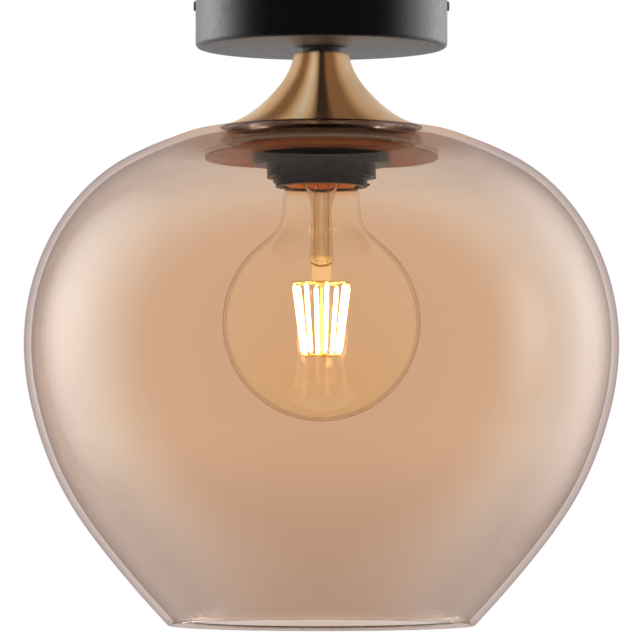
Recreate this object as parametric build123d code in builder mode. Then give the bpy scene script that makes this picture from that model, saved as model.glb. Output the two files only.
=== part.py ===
from build123d import *
import os
from math import cos, pi, radians, sin, sqrt, tan

# A semi-flush glass ceiling light: a black canopy, a spun metal trumpet and an open glass shade
# round one screw lamp. The ceiling is the plane z = 0 and the light hangs below it on the Z axis.
os.makedirs("parts", exist_ok=True)

# Canopy and the bracket that carries it
canopy_diameter = 102.0
canopy_height = 25.0
canopy_wall = 1.2
canopy_edge_radius = 1.8
bracket_width = 20.0
bracket_thickness = 1.5
bracket_ear_length = 14.0
bracket_ear_gap = 1.4
bracket_bend_radius = 2.0
ceiling_slot_width = 5.0
ceiling_slot_length = 16.0
ceiling_slot_end_gap = 3.9
cable_hole_diameter = 12.0
side_screw_diameter = 4.0
side_screw_depth = 8.0
side_screw_proud = 0.8
side_screw_length = 7.0
side_screw_socket = 2.0
side_screw_socket_depth = 2.4

# Threaded tube, its nuts and the collar that keeps the trumpet off the canopy
tube_diameter = 10.0
tube_bore = 7.0
tube_chamfer = 0.5
tube_top_room = 8.0
nut_across_flats = 14.0
nut_height = 3.5
nut_edge_share = 0.5
washer_diameter = 17.0
washer_thickness = 0.8
washer_teeth = 12
washer_tooth_gap = 2.2
washer_tooth_depth = 1.1
collar_diameter = 15.0
collar_height = 2.0

# Trumpet
trumpet_neck_diameter = 22.6
trumpet_neck_radius = 1.8
trumpet_wall = 1.2
trumpet_rim_diameter = 82.0
trumpet_height = 30.4
trumpet_curve_shares = ((0.030, 0.110), (0.112, 0.285), (0.249, 0.470), (0.472, 0.700), (0.738, 0.890))
trumpet_rim_slope_share = 0.40
trumpet_inner_count = 12

# Glass shade
shade_diameter = 240.4
shade_height = 201.9
shade_mouth_diameter = 122.4
shade_wall = 3.0
shade_hole_diameter = 73.0
shade_lip_height = 6.2
shade_crown_radius = 5.0
shade_rim_radius = 1.2
shade_curve_shares = (
    (0.527, 0.0265),
    (0.697, 0.0755),
    (0.832, 0.1475),
    (0.932, 0.2430),
    (1.000, 0.4330),
    (0.941, 0.6265),
    (0.825, 0.7705),
    (0.640, 0.9135),
)
shade_rim_slope_share = 0.93
shade_inner_count = 24

# Plate, gasket and ring that carry the shade
plate_diameter = 95.0
plate_thickness = 1.2
plate_flat_diameter = 80.0
plate_drop = 1.4
plate_lip = 1.2
plate_bend_radius = 2.0
gasket_thickness = 1.0
gasket_upstand = 2.0
gasket_width = 5.0
ring_flange_diameter = 56.0
ring_flange_height = 4.8
ring_edge_chamfer = 1.2
ring_grip_diameter = 44.4
ring_grip_height = 5.6
ring_grip_notches = 8
ring_notch_width = 5.2
ring_notch_depth = 0.8
ring_notch_chamfer = 0.3

# Lampholder
holder_height = 42.5
holder_thread_diameter = 39.2
holder_thread_depth = 1.0
holder_thread_pitch = 2.5
holder_thread_width_share = 0.36
thread_flank_share = 0.7
holder_thread_turns = 5.4
ring_thread_turns = 3.2
holder_sleeve_wall = 2.2
holder_mouth_lip = 0.8
holder_mouth_lip_height = 1.2
holder_shoulder_diameter = 43.0
holder_shoulder_height = 3.4
holder_cap_diameter = 39.6
holder_cap_wall = 1.5
holder_cap_neck_diameter = 15.6
holder_cap_neck_height = 1.6
holder_cap_bell_height = 9.0
holder_cap_skirt = 7.6
holder_cap_thread_length = 4.5
lock_screw_diameter = 2.6
insert_disc_thickness = 3.0
insert_top_room = 9.0
shell_wall = 0.45
contact_strip_width = 5.0
contact_strip_thickness = 0.5
contact_screw_offset = 9.0
contact_screw_diameter = 3.0
contact_screw_head = 5.2
contact_screw_head_height = 1.6
contact_slot_offset = 5.2
screw_slot_width = 0.8
screw_slot_depth = 0.7

# Screw lamp: an E27 cap under a globe, with a ring of light filaments
lamp_thread_diameter = 26.3
lamp_thread_depth = 1.05
lamp_thread_pitch = 3.629
lamp_thread_width_share = 0.34
lamp_thread_turns = 4.2
shell_thread_turns = 4.2
lamp_cap_length = 26.0
lamp_cap_wall = 0.6
lamp_skirt_height = 2.4
lamp_eyelet_diameter = 9.5
lamp_eyelet_height = 1.3
lamp_insulator_height = 3.0
lamp_insulator_sink = 1.2
globe_diameter = 80.0
globe_wall = 1.0
globe_length = 99.2
globe_neck_diameter = 30.0
globe_waist_diameter = 34.0
globe_neck_drop = 5.8
globe_waist_depth = 13.8
globe_collar_height = 2.6
globe_shoulder_angle = 40.0
globe_inner_count = 10
stem_top_diameter = 11.6
stem_end_diameter = 9.4
stem_wall = 0.9
exhaust_diameter = 4.4
stem_length = 34.0
stem_pinch_length = 8.4
stem_pinch_thickness = 3.6
stem_pinch_width = 8.2
stem_pinch_corner = 1.2
stem_pinch_taper_share = 0.33
filament_count = 8
filament_start_share = 0.25
filament_length = 29.0
filament_diameter = 1.7
filament_tab_length = 1.4
filament_tab_diameter = 1.0
filament_top_spread = 22.4
filament_bottom_spread = 15.0
cage_wire_diameter = 0.6
cage_top_hub_diameter = 5.0
cage_bottom_hub_diameter = 3.0
cage_hub_height = 1.6
cage_rod_diameter = 1.2
lead_wire_offset = 2.75
driver_width = 17.0
driver_height = 15.0
driver_thickness = 1.2
driver_part_height = 4.0
driver_part_diameter = 6.0

# Wiring held inside the canopy, the tube and the lampholder
block_width = 10.0
block_length = 32.0
block_height = 11.0
block_offset = 17.0
block_pole_pitch = 10.0
block_gap_width = 4.2
block_gap_depth = 4.0
block_bore = 3.4
block_screw_diameter = 2.0
block_screw_head_height = 1.0
block_pole_screw_diameter = 2.8
block_pole_screw_offset = 2.6
block_pole_screw_sink = 1.0
earth_screw_offset = 17.0
earth_screw_diameter = 4.0
earth_screw_head = 7.0
earth_screw_head_height = 2.2
earth_tag_thickness = 0.6
earth_tag_neck = 1.5
earth_tag_barrel = 5.0
wire_diameter = 1.9
wire_place_in_tube = 1.9
wire_rise = 2.5
wire_end_gap = 0.6
wire_grip = 6.0
wire_arc_share = 0.45

# Clearances: fixed fits, turning faces, and one overrun for every cut
fit = 0.05
turning_gap = 0.1
seat_gap = 0.3
thread_gap = 0.25
root_sink = 0.2
overrun = 2.0

# Levels that several pieces share, measured downwards from the ceiling
canopy_floor_z = -(canopy_height - canopy_wall)
collar_z = -canopy_height
trumpet_top_z = collar_z - collar_height
trumpet_rim_z = trumpet_top_z - trumpet_height
shade_top_z = trumpet_rim_z - seat_gap
shade_lip_z = shade_top_z - shade_lip_height
gasket_top_z = shade_lip_z - seat_gap
plate_top_z = gasket_top_z - gasket_thickness
ring_top_z = plate_top_z - plate_thickness - turning_gap
ring_bottom_z = ring_top_z - ring_flange_height - ring_grip_height
shoulder_bottom_z = plate_top_z + turning_gap
holder_top_z = trumpet_top_z - trumpet_neck_diameter / 2
holder_mouth_z = holder_top_z - holder_height
cap_bell_z = holder_top_z - holder_cap_bell_height
cap_base_z = cap_bell_z - holder_cap_skirt
insert_top_z = holder_top_z - insert_top_room
insert_bottom_z = holder_mouth_z + holder_mouth_lip_height + fit
disc_bottom_z = insert_top_z - insert_disc_thickness
lamp_top_z = disc_bottom_z - contact_strip_thickness - seat_gap
lamp_skirt_z = lamp_top_z - lamp_cap_length
globe_bottom_z = lamp_skirt_z - globe_length

# Radii that mating pieces share
holder_crest_r = holder_thread_diameter / 2
holder_core_r = holder_crest_r - holder_thread_depth
holder_bore_r = holder_core_r - holder_sleeve_wall
ring_wall_r = holder_crest_r + thread_gap
ring_ridge_r = holder_core_r + thread_gap
lamp_crest_r = lamp_thread_diameter / 2
lamp_core_r = lamp_crest_r - lamp_thread_depth
shell_wall_r = lamp_crest_r + thread_gap
shell_ridge_r = lamp_core_r + thread_gap
shell_outer_r = shell_wall_r + shell_wall
insert_bore_r = shell_outer_r + fit
tube_r = tube_diameter / 2
plate_bore_r = holder_crest_r + seat_gap
ear_x = canopy_diameter / 2 - canopy_wall - bracket_ear_gap
ceiling_slot_x = ear_x - bracket_thickness - ceiling_slot_end_gap - ceiling_slot_length / 2


def add_thread(root_r, crest_r, width, pitch, turns, low_z):
    """Winds a tapered ridge round the open part, from a root inside its wall to a free crest."""
    middle_r = (root_r + crest_r) / 2
    with BuildLine() as path:
        Helix(pitch, pitch * turns, middle_r, center=(0, 0, low_z))
    reach = crest_r - middle_r
    half_root = width / 2
    half_crest = half_root * thread_flank_share
    corners = [(-reach, -half_root), (reach, -half_crest), (reach, half_crest), (-reach, half_root)]
    with BuildSketch(Plane(origin=path.line @ 0, x_dir=(1, 0, 0), z_dir=path.line % 0)) as ridge:
        Polygon(*corners, align=None)
    sweep(sections=ridge.sketch, path=path.line, is_frenet=True)


def wall_points(curve, wall, count):
    """Evenly spaced points one wall thickness to the right of a profile curve."""
    places = [curve.position_at(step / count) for step in range(count + 1)]
    headings = [curve.tangent_at(step / count) for step in range(count + 1)]
    return [place + Vector(heading.Y, -heading.X) * wall for place, heading in zip(places, headings)]


def wire_path_radii(points):
    """Gives each corner of a wire's route the widest arc that its two runs allow."""
    radii = []
    for before, corner, after in zip(points, points[1:], points[2:]):
        run_in = Vector(*corner) - Vector(*before)
        run_out = Vector(*after) - Vector(*corner)
        half_turn = radians(run_in.get_angle(run_out)) / 2
        radii.append(wire_arc_share * min(run_in.length, run_out.length) / tan(half_turn))
    return radii


# Ceiling bracket: a flat strap with two slots, a cable hole and an ear bent down at each end
with BuildPart() as ceiling_bracket:
    with BuildSketch(Plane.XY):
        Rectangle(2 * ear_x, bracket_width)
        with Locations((-ceiling_slot_x, 0), (ceiling_slot_x, 0)):
            SlotOverall(ceiling_slot_length, ceiling_slot_width, mode=Mode.SUBTRACT)
        Circle(cable_hole_diameter / 2, mode=Mode.SUBTRACT)
        with Locations((-block_offset, -block_pole_pitch / 2), (-block_offset, block_pole_pitch / 2)):
            Circle(block_screw_diameter / 2 + fit, mode=Mode.SUBTRACT)
        with Locations((earth_screw_offset, 0)):
            Circle(earth_screw_diameter / 2 + fit, mode=Mode.SUBTRACT)
    extrude(amount=-bracket_thickness)
    for side in (-1, 1):
        with BuildSketch(Plane.XY):
            with Locations((side * (ear_x - bracket_thickness / 2), 0)):
                Rectangle(bracket_thickness, bracket_width)
        extrude(amount=-bracket_ear_length)
    outer_bends = ceiling_bracket.edges().filter_by(Axis.Y).group_by(Axis.Z)[-1].sort_by(Axis.X)
    fillet([outer_bends[0], outer_bends[-1]], bracket_bend_radius)
    ear_corners = ceiling_bracket.edges().filter_by(Axis.X).group_by(Axis.Z)[0]
    fillet(ear_corners, bracket_bend_radius)
    with BuildSketch(Plane.YZ):
        with Locations((0, -side_screw_depth)):
            Circle(side_screw_diameter / 2 + fit)
    extrude(amount=ear_x + overrun, both=True, mode=Mode.SUBTRACT)
ceiling_bracket.part.label = "ceiling_bracket"
export_step(ceiling_bracket.part, "parts/ceiling_bracket.step")

# Canopy: a deep-drawn cup, open to the ceiling, with a rounded lower edge
with BuildPart() as canopy:
    with BuildSketch(Plane.XY):
        Circle(canopy_diameter / 2)
    extrude(amount=-canopy_height)
    fillet(canopy.edges().group_by(Axis.Z)[0], canopy_edge_radius)
    offset(amount=-canopy_wall, openings=canopy.faces().sort_by(Axis.Z)[-1])
    with BuildSketch(Plane.XY.offset(-canopy_height)):
        Circle(tube_r + fit)
    extrude(amount=canopy_wall + overrun, mode=Mode.SUBTRACT)
    with BuildSketch(Plane.YZ):
        with Locations((0, -side_screw_depth)):
            Circle(side_screw_diameter / 2 + fit)
    extrude(amount=canopy_diameter / 2 + overrun, both=True, mode=Mode.SUBTRACT)
canopy.part.label = "canopy"
export_step(canopy.part, "parts/canopy.step")

# Side screws: two socket grub screws through the canopy wall into the bracket's ears
with BuildPart() as side_screws:
    for side in (-1, 1):
        head = Plane(
            origin=(side * (canopy_diameter / 2 + side_screw_proud), 0, -side_screw_depth),
            x_dir=(0, 1, 0),
            z_dir=(side, 0, 0),
        )
        with BuildSketch(head):
            Circle(side_screw_diameter / 2)
        extrude(amount=-side_screw_length)
        with BuildSketch(head):
            RegularPolygon(side_screw_socket / 2, 6, major_radius=False)
        extrude(amount=-side_screw_socket_depth, mode=Mode.SUBTRACT)
    head_edges = side_screws.edges().filter_by(GeomType.CIRCLE)
    chamfer(
        head_edges.filter_by(lambda edge: abs(edge.center().X) > canopy_diameter / 2),
        side_screw_proud / 2,
    )
side_screws.part.label = "side_screws"
export_step(side_screws.part, "parts/side_screws.step")

# Threaded tube: joins canopy, trumpet and lampholder, and leads the wires
tube_top_z = canopy_floor_z + tube_top_room
tube_bottom_z = holder_top_z - holder_cap_thread_length
with BuildPart() as threaded_tube:
    with BuildSketch(Plane.XY.offset(tube_bottom_z)):
        Circle(tube_r)
        Circle(tube_bore / 2, mode=Mode.SUBTRACT)
    extrude(amount=tube_top_z - tube_bottom_z)
    tube_ends = threaded_tube.edges().filter_by(GeomType.CIRCLE)
    chamfer(tube_ends.filter_by(lambda edge: edge.radius > tube_bore / 2 + fit), tube_chamfer)
threaded_tube.part.label = "threaded_tube"
export_step(threaded_tube.part, "parts/threaded_tube.step")

# Lock washer: toothed round its edge, under the upper nut
with BuildPart() as lock_washer:
    with BuildSketch(Plane.XY.offset(canopy_floor_z)):
        Circle(washer_diameter / 2)
        with PolarLocations(washer_diameter / 2, washer_teeth):
            Rectangle(2 * washer_tooth_depth, washer_tooth_gap, mode=Mode.SUBTRACT)
        Circle(tube_r + fit, mode=Mode.SUBTRACT)
    extrude(amount=washer_thickness)
lock_washer.part.label = "lock_washer"
export_step(lock_washer.part, "parts/lock_washer.step")

# The two hexagon nuts: one clamps the canopy from inside, one the trumpet from below
nut_corner_r = nut_across_flats / sqrt(3)
nut_edge_drop = (nut_corner_r - nut_across_flats / 2) * nut_edge_share
nut_levels = {
    "canopy_nut": canopy_floor_z + washer_thickness,
    "trumpet_nut": trumpet_top_z - trumpet_wall - nut_height,
}
for nut_name, nut_z in nut_levels.items():
    with BuildPart() as nut:
        with BuildSketch(Plane.XY.offset(nut_z)):
            RegularPolygon(nut_across_flats / 2, 6, major_radius=False)
        extrude(amount=nut_height)
        with BuildSketch(Plane.XZ):
            with BuildLine():
                Polyline(
                    (0, nut_z),
                    (nut_across_flats / 2, nut_z),
                    (nut_corner_r, nut_z + nut_edge_drop),
                    (nut_corner_r, nut_z + nut_height - nut_edge_drop),
                    (nut_across_flats / 2, nut_z + nut_height),
                    (0, nut_z + nut_height),
                    close=True,
                )
            make_face()
        revolve(axis=Axis.Z, mode=Mode.INTERSECT)
        with BuildSketch(Plane.XY.offset(nut_z)):
            Circle(tube_r + fit)
        extrude(amount=nut_height, mode=Mode.SUBTRACT)
    nut.part.label = nut_name
    export_step(nut.part, f"parts/{nut_name}.step")

# Collar: the short black spacer seen between canopy and trumpet
with BuildPart() as collar:
    with BuildSketch(Plane.XY.offset(trumpet_top_z)):
        Circle(collar_diameter / 2)
        Circle(tube_r + fit, mode=Mode.SUBTRACT)
    extrude(amount=collar_height)
collar.part.label = "collar"
export_step(collar.part, "parts/collar.step")

# Trumpet: spun from sheet, a rounded neck that flares out to rest over the shade's crown
trumpet_neck_r = trumpet_neck_diameter / 2
trumpet_rim_r = trumpet_rim_diameter / 2
trumpet_flare = trumpet_rim_r - trumpet_neck_r
neck_corner_z = trumpet_top_z - trumpet_neck_radius
curve_height = neck_corner_z - trumpet_rim_z
flare_points = [
    (trumpet_neck_r + share_r * trumpet_flare, neck_corner_z - share_z * curve_height)
    for share_r, share_z in trumpet_curve_shares
]
with BuildPart() as trumpet:
    with BuildSketch(Plane.XZ):
        with BuildLine():
            Line((tube_r + fit, trumpet_top_z), (trumpet_neck_r - trumpet_neck_radius, trumpet_top_z))
            CenterArc((trumpet_neck_r - trumpet_neck_radius, neck_corner_z), trumpet_neck_radius, 0, 90)
            flare = Spline(
                (trumpet_neck_r, neck_corner_z),
                *flare_points,
                (trumpet_rim_r, trumpet_rim_z),
                tangents=((0, -1), (1, -trumpet_rim_slope_share)),
            )
            inner_points = wall_points(flare, trumpet_wall, trumpet_inner_count)
            inner_points[0] = Vector(trumpet_neck_r - trumpet_wall, trumpet_top_z - trumpet_wall)
            Line(flare @ 1, inner_points[-1])
            Spline(*inner_points, tangents=((0, -1), (1, -trumpet_rim_slope_share)))
            Polyline(
                inner_points[0],
                (tube_r + fit, trumpet_top_z - trumpet_wall),
                (tube_r + fit, trumpet_top_z),
            )
        make_face()
    revolve(axis=Axis.Z)
    with BuildSketch(Plane.XY.offset(trumpet_rim_z - overrun)):
        Circle(trumpet_rim_r + overrun)
    extrude(amount=overrun, mode=Mode.SUBTRACT)
trumpet.part.label = "trumpet"
export_step(trumpet.part, "parts/trumpet.step")

# Glass shade: one blown wall, from the lip on the gasket over the crown to the open mouth
shade_r = shade_diameter / 2
shade_mouth_r = shade_mouth_diameter / 2
shade_hole_r = shade_hole_diameter / 2
shade_rim_z = shade_top_z - shade_height
crown_r = shade_hole_r + shade_crown_radius
shade_points = [
    (share_r * shade_r, shade_top_z - share_z * shade_height)
    for share_r, share_z in shade_curve_shares
]
with BuildPart() as glass_shade:
    with BuildSketch(Plane.XZ):
        with BuildLine():
            Line((shade_hole_r, shade_lip_z), (shade_hole_r, shade_top_z - shade_crown_radius))
            CenterArc((crown_r, shade_top_z - shade_crown_radius), shade_crown_radius, 90, 90)
            outer_wall = Spline(
                (crown_r, shade_top_z),
                *shade_points,
                (shade_mouth_r, shade_rim_z),
                tangents=((1, 0), (-shade_rim_slope_share, -1)),
            )
            inner_points = wall_points(outer_wall, shade_wall, shade_inner_count)
            Line(outer_wall @ 1, inner_points[-1])
            Spline(*inner_points, tangents=((1, 0), (-shade_rim_slope_share, -1)))
            CenterArc((crown_r, shade_top_z - shade_crown_radius), shade_crown_radius - shade_wall, 90, 90)
            inner_lip_r = shade_hole_r + shade_wall
            Polyline(
                (inner_lip_r, shade_top_z - shade_crown_radius),
                (inner_lip_r, shade_lip_z),
                (shade_hole_r, shade_lip_z),
            )
        make_face()
    revolve(axis=Axis.Z)
    rim_edges = glass_shade.edges().filter_by(GeomType.CIRCLE).filter_by(
        lambda edge: edge.center().Z < shade_rim_z + shade_wall
    )
    fillet(rim_edges, shade_rim_radius)
glass_shade.part.label = "glass_shade"
export_step(glass_shade.part, "parts/glass_shade.step")

# Shade gasket: a clear L-section ring between the glass lip and the plate
gasket_outer_r = shade_hole_r + gasket_width
gasket_sleeve_r = shade_hole_r - seat_gap
with BuildPart() as shade_gasket:
    with BuildSketch(Plane.XZ):
        with BuildLine():
            Polyline(
                (gasket_sleeve_r - gasket_thickness, plate_top_z),
                (gasket_outer_r, plate_top_z),
                (gasket_outer_r, gasket_top_z),
                (gasket_sleeve_r, gasket_top_z),
                (gasket_sleeve_r, gasket_top_z + gasket_upstand),
                (gasket_sleeve_r - gasket_thickness, gasket_top_z + gasket_upstand),
                close=True,
            )
        make_face()
    revolve(axis=Axis.Z)
shade_gasket.part.label = "shade_gasket"
export_step(shade_gasket.part, "parts/shade_gasket.step")

# Shade plate: a copper-faced dish with a drooping edge, bored to pass the lampholder's thread
plate_r = plate_diameter / 2
plate_flat_r = plate_flat_diameter / 2
with BuildPart() as shade_plate:
    with BuildSketch(Plane.XZ):
        with BuildLine():
            FilletPolyline(
                (plate_bore_r, plate_top_z),
                (plate_flat_r, plate_top_z),
                (plate_r, plate_top_z - plate_drop),
                (plate_r, plate_top_z - plate_drop - plate_lip),
                radius=(plate_bend_radius, plate_lip / 2),
            )
            offset(amount=plate_thickness, side=Side.RIGHT)
        make_face()
    revolve(axis=Axis.Z)
shade_plate.part.label = "shade_plate"
export_step(shade_plate.part, "parts/shade_plate.step")

# Shade ring: a wide flange over a notched grip, threaded inside to climb the lampholder
ring_flange_r = ring_flange_diameter / 2
ring_grip_r = ring_grip_diameter / 2
ring_flange_bottom_z = ring_top_z - ring_flange_height
thread_width = holder_thread_width_share * holder_thread_pitch
ring_thread_low_z = ring_bottom_z + thread_width
with BuildPart() as shade_ring:
    with BuildSketch(Plane.XY.offset(ring_top_z)):
        Circle(ring_flange_r)
    extrude(amount=-ring_flange_height)
    chamfer(shade_ring.edges().group_by(Axis.Z)[0], ring_edge_chamfer)
    with BuildSketch(Plane.XY.offset(ring_flange_bottom_z)):
        Circle(ring_grip_r)
    extrude(amount=-ring_grip_height)
    with BuildSketch(Plane.XY.offset(ring_bottom_z)):
        with PolarLocations(ring_grip_r, ring_grip_notches):
            RectangleRounded(2 * ring_notch_depth, ring_notch_width, ring_notch_chamfer)
    extrude(amount=ring_grip_height, mode=Mode.SUBTRACT)
    with BuildSketch(Plane.XY.offset(ring_bottom_z)):
        Circle(ring_wall_r)
    extrude(amount=ring_top_z - ring_bottom_z, mode=Mode.SUBTRACT)
    add_thread(
        ring_wall_r + root_sink,
        ring_ridge_r,
        thread_width,
        holder_thread_pitch,
        ring_thread_turns,
        ring_thread_low_z,
    )
shade_ring.part.label = "shade_ring"
export_step(shade_ring.part, "parts/shade_ring.step")

# Lampholder cap: a bell screwed on the tube's lower end, closing over the terminals
cap_r = holder_cap_diameter / 2
cap_neck_r = holder_cap_neck_diameter / 2
cap_neck_z = holder_top_z - holder_cap_neck_height
cap_inner_r = cap_r - holder_cap_wall
cap_slope = (cap_neck_z - cap_bell_z) / (cap_r - cap_neck_r)
cap_drop = holder_cap_wall * sqrt(1 + cap_slope**2)
cap_corner_z = cap_bell_z + cap_slope * holder_cap_wall - cap_drop
lock_screw_z = cap_neck_z - cap_drop / 2
with BuildPart() as holder_cap:
    with BuildSketch(Plane.XZ):
        with BuildLine():
            Polyline(
                (tube_r + fit, holder_top_z),
                (cap_neck_r, holder_top_z),
                (cap_neck_r, cap_neck_z),
                (cap_r, cap_bell_z),
                (cap_r, cap_base_z),
                (cap_inner_r, cap_base_z),
                (cap_inner_r, cap_corner_z),
                (cap_neck_r, cap_neck_z - cap_drop),
                (cap_neck_r, tube_bottom_z),
                (tube_r + fit, tube_bottom_z),
                close=True,
            )
        make_face()
    revolve(axis=Axis.Z)
    bell_edges = holder_cap.edges().filter_by(lambda edge: abs(edge.center().Z - cap_bell_z) < fit)
    fillet(bell_edges, holder_cap_wall)
    with BuildSketch(Plane.YZ):
        with Locations((0, lock_screw_z)):
            Circle(lock_screw_diameter / 2 + fit)
    extrude(amount=cap_neck_r + overrun, mode=Mode.SUBTRACT)
holder_cap.part.label = "holder_cap"
export_step(holder_cap.part, "parts/holder_cap.step")

# Lampholder sleeve: an outer thread for the shade ring under the shoulder that the plate meets
holder_shoulder_r = holder_shoulder_diameter / 2
sleeve_top_r = cap_inner_r - fit
sleeve_top_z = cap_corner_z - seat_gap
mouth_lip_r = holder_bore_r - holder_mouth_lip
whole_turns_down = round((ring_thread_low_z - holder_mouth_z) / holder_thread_pitch)
sleeve_thread_low_z = ring_thread_low_z - holder_thread_pitch * (whole_turns_down - 1 / 2)
with BuildPart() as holder_sleeve:
    with BuildSketch(Plane.XZ):
        with BuildLine():
            Polyline(
                (mouth_lip_r, holder_mouth_z),
                (holder_core_r, holder_mouth_z),
                (holder_core_r, shoulder_bottom_z),
                (holder_shoulder_r, shoulder_bottom_z),
                (holder_shoulder_r, shoulder_bottom_z + holder_shoulder_height),
                (sleeve_top_r, shoulder_bottom_z + holder_shoulder_height),
                (sleeve_top_r, sleeve_top_z),
                (holder_bore_r, sleeve_top_z),
                (holder_bore_r, holder_mouth_z + holder_mouth_lip_height),
                (mouth_lip_r, holder_mouth_z + holder_mouth_lip_height),
                close=True,
            )
        make_face()
    revolve(axis=Axis.Z)
    add_thread(
        holder_core_r - root_sink,
        holder_crest_r,
        thread_width,
        holder_thread_pitch,
        holder_thread_turns,
        sleeve_thread_low_z,
    )
holder_sleeve.part.label = "holder_sleeve"
export_step(holder_sleeve.part, "parts/holder_sleeve.step")

# Insert: a ceramic cup inside the sleeve, with a terminal deck on top and the contact chamber below
insert_outer_r = holder_bore_r - fit
strip_slot_width = contact_strip_thickness + 2 * fit
shell_slot_x = -(insert_bore_r - contact_strip_thickness)
centre_slot_x = contact_slot_offset
with BuildPart() as holder_insert:
    with BuildSketch(Plane.XY.offset(insert_bottom_z)):
        Circle(insert_outer_r)
    extrude(amount=insert_top_z - insert_bottom_z)
    with BuildSketch(Plane.XY.offset(insert_bottom_z)):
        Circle(insert_bore_r)
    extrude(amount=disc_bottom_z - insert_bottom_z, mode=Mode.SUBTRACT)
    with BuildSketch(Plane.XY.offset(disc_bottom_z)):
        for slot_x in (shell_slot_x, centre_slot_x):
            with Locations((slot_x, 0)):
                Rectangle(strip_slot_width, contact_strip_width + 2 * fit)
        for screw_x in (-contact_screw_offset, contact_screw_offset):
            with Locations((screw_x, 0)):
                Circle(contact_screw_diameter / 2 + fit)
    extrude(amount=insert_disc_thickness, mode=Mode.SUBTRACT)
holder_insert.part.label = "holder_insert"
export_step(holder_insert.part, "parts/holder_insert.step")

# Screw shell: the brass cup whose inner ridge takes the lamp's thread
lamp_width = lamp_thread_width_share * lamp_thread_pitch
lamp_thread_low_z = lamp_skirt_z + lamp_skirt_height + lamp_width
shell_thread_low_z = lamp_thread_low_z + lamp_thread_pitch / 2
shell_top_z = disc_bottom_z - lamp_insulator_height
shell_bottom_z = lamp_skirt_z
with BuildPart() as screw_shell:
    with BuildSketch(Plane.XY.offset(shell_bottom_z)):
        Circle(shell_outer_r)
        Circle(shell_wall_r, mode=Mode.SUBTRACT)
    extrude(amount=shell_top_z - shell_bottom_z)
    add_thread(
        shell_wall_r + root_sink,
        shell_ridge_r,
        lamp_width,
        lamp_thread_pitch,
        shell_thread_turns,
        shell_thread_low_z,
    )
screw_shell.part.label = "screw_shell"
export_step(screw_shell.part, "parts/screw_shell.step")

# Centre contact: a strip from the live screw down through the deck to the middle of the chamber
strip_top_z = insert_top_z + contact_strip_thickness
strip_end_x = contact_screw_offset + contact_screw_head / 2
tongue_z = disc_bottom_z - contact_strip_thickness
with BuildPart() as centre_contact:
    with BuildSketch(Plane.XZ.offset(-contact_strip_width / 2)):
        with BuildLine():
            Polyline(
                (strip_end_x, insert_top_z),
                (strip_end_x, strip_top_z),
                (centre_slot_x - contact_strip_thickness / 2, strip_top_z),
                (centre_slot_x - contact_strip_thickness / 2, disc_bottom_z),
                (-contact_strip_width / 2, disc_bottom_z),
                (-contact_strip_width / 2, tongue_z),
                (centre_slot_x + contact_strip_thickness / 2, tongue_z),
                (centre_slot_x + contact_strip_thickness / 2, insert_top_z),
                close=True,
            )
        make_face()
    extrude(amount=contact_strip_width)
    with BuildSketch(Plane.XY.offset(insert_top_z)):
        with Locations((contact_screw_offset, 0)):
            Circle(contact_screw_diameter / 2 + fit)
    extrude(amount=contact_strip_thickness, mode=Mode.SUBTRACT)
centre_contact.part.label = "centre_contact"
export_step(centre_contact.part, "parts/centre_contact.step")

# Shell contact: a strip from the neutral screw down to the shell's upper edge
with BuildPart() as shell_contact:
    with BuildSketch(Plane.XZ.offset(-contact_strip_width / 2)):
        with BuildLine():
            inner_face_x = shell_slot_x + contact_strip_thickness / 2
            outer_face_x = shell_slot_x - contact_strip_thickness / 2
            Polyline(
                (-contact_screw_offset + contact_screw_head / 2, insert_top_z),
                (-contact_screw_offset + contact_screw_head / 2, strip_top_z),
                (outer_face_x, strip_top_z),
                (outer_face_x, shell_top_z + fit),
                (inner_face_x, shell_top_z + fit),
                (inner_face_x, insert_top_z),
                close=True,
            )
        make_face()
    extrude(amount=contact_strip_width)
    with BuildSketch(Plane.XY.offset(insert_top_z)):
        with Locations((-contact_screw_offset, 0)):
            Circle(contact_screw_diameter / 2 + fit)
    extrude(amount=contact_strip_thickness, mode=Mode.SUBTRACT)
shell_contact.part.label = "shell_contact"
export_step(shell_contact.part, "parts/shell_contact.step")


def add_screw(seat, shank_r, shank_length, head_r, head_height):
    """Adds a slotted pan-head screw to the open part: the head stands on the seat plane."""
    with BuildSketch(seat) as head:
        Circle(head_r)
    extrude(head.sketch, amount=head_height)
    with BuildSketch(seat) as shank:
        Circle(shank_r)
    extrude(shank.sketch, amount=-shank_length)
    with BuildSketch(seat.offset(head_height)) as slot:
        Rectangle(2 * head_r + overrun, screw_slot_width)
    extrude(slot.sketch, amount=-screw_slot_depth, mode=Mode.SUBTRACT)


# Contact screws: clamp the two strips and their wires to the deck
with BuildPart() as contact_screws:
    for screw_x in (-contact_screw_offset, contact_screw_offset):
        add_screw(
            Plane.XY.offset(strip_top_z).move(Location((screw_x, 0, 0))),
            contact_screw_diameter / 2,
            insert_disc_thickness,
            contact_screw_head / 2,
            contact_screw_head_height,
        )
contact_screws.part.label = "contact_screws"
export_step(contact_screws.part, "parts/contact_screws.step")

# Holder lock screw: pins the lampholder cap on the tube
with BuildPart() as holder_lock_screw:
    with BuildSketch(Plane.YZ.offset(tube_r + fit)):
        with Locations((0, lock_screw_z)):
            Circle(lock_screw_diameter / 2)
    extrude(amount=cap_neck_r - tube_r)
    with BuildSketch(Plane.YZ.offset(cap_neck_r + fit)):
        with Locations((0, lock_screw_z)):
            Rectangle(screw_slot_width, lock_screw_diameter)
    extrude(amount=-screw_slot_depth, mode=Mode.SUBTRACT)
holder_lock_screw.part.label = "holder_lock_screw"
export_step(holder_lock_screw.part, "parts/holder_lock_screw.step")

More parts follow.
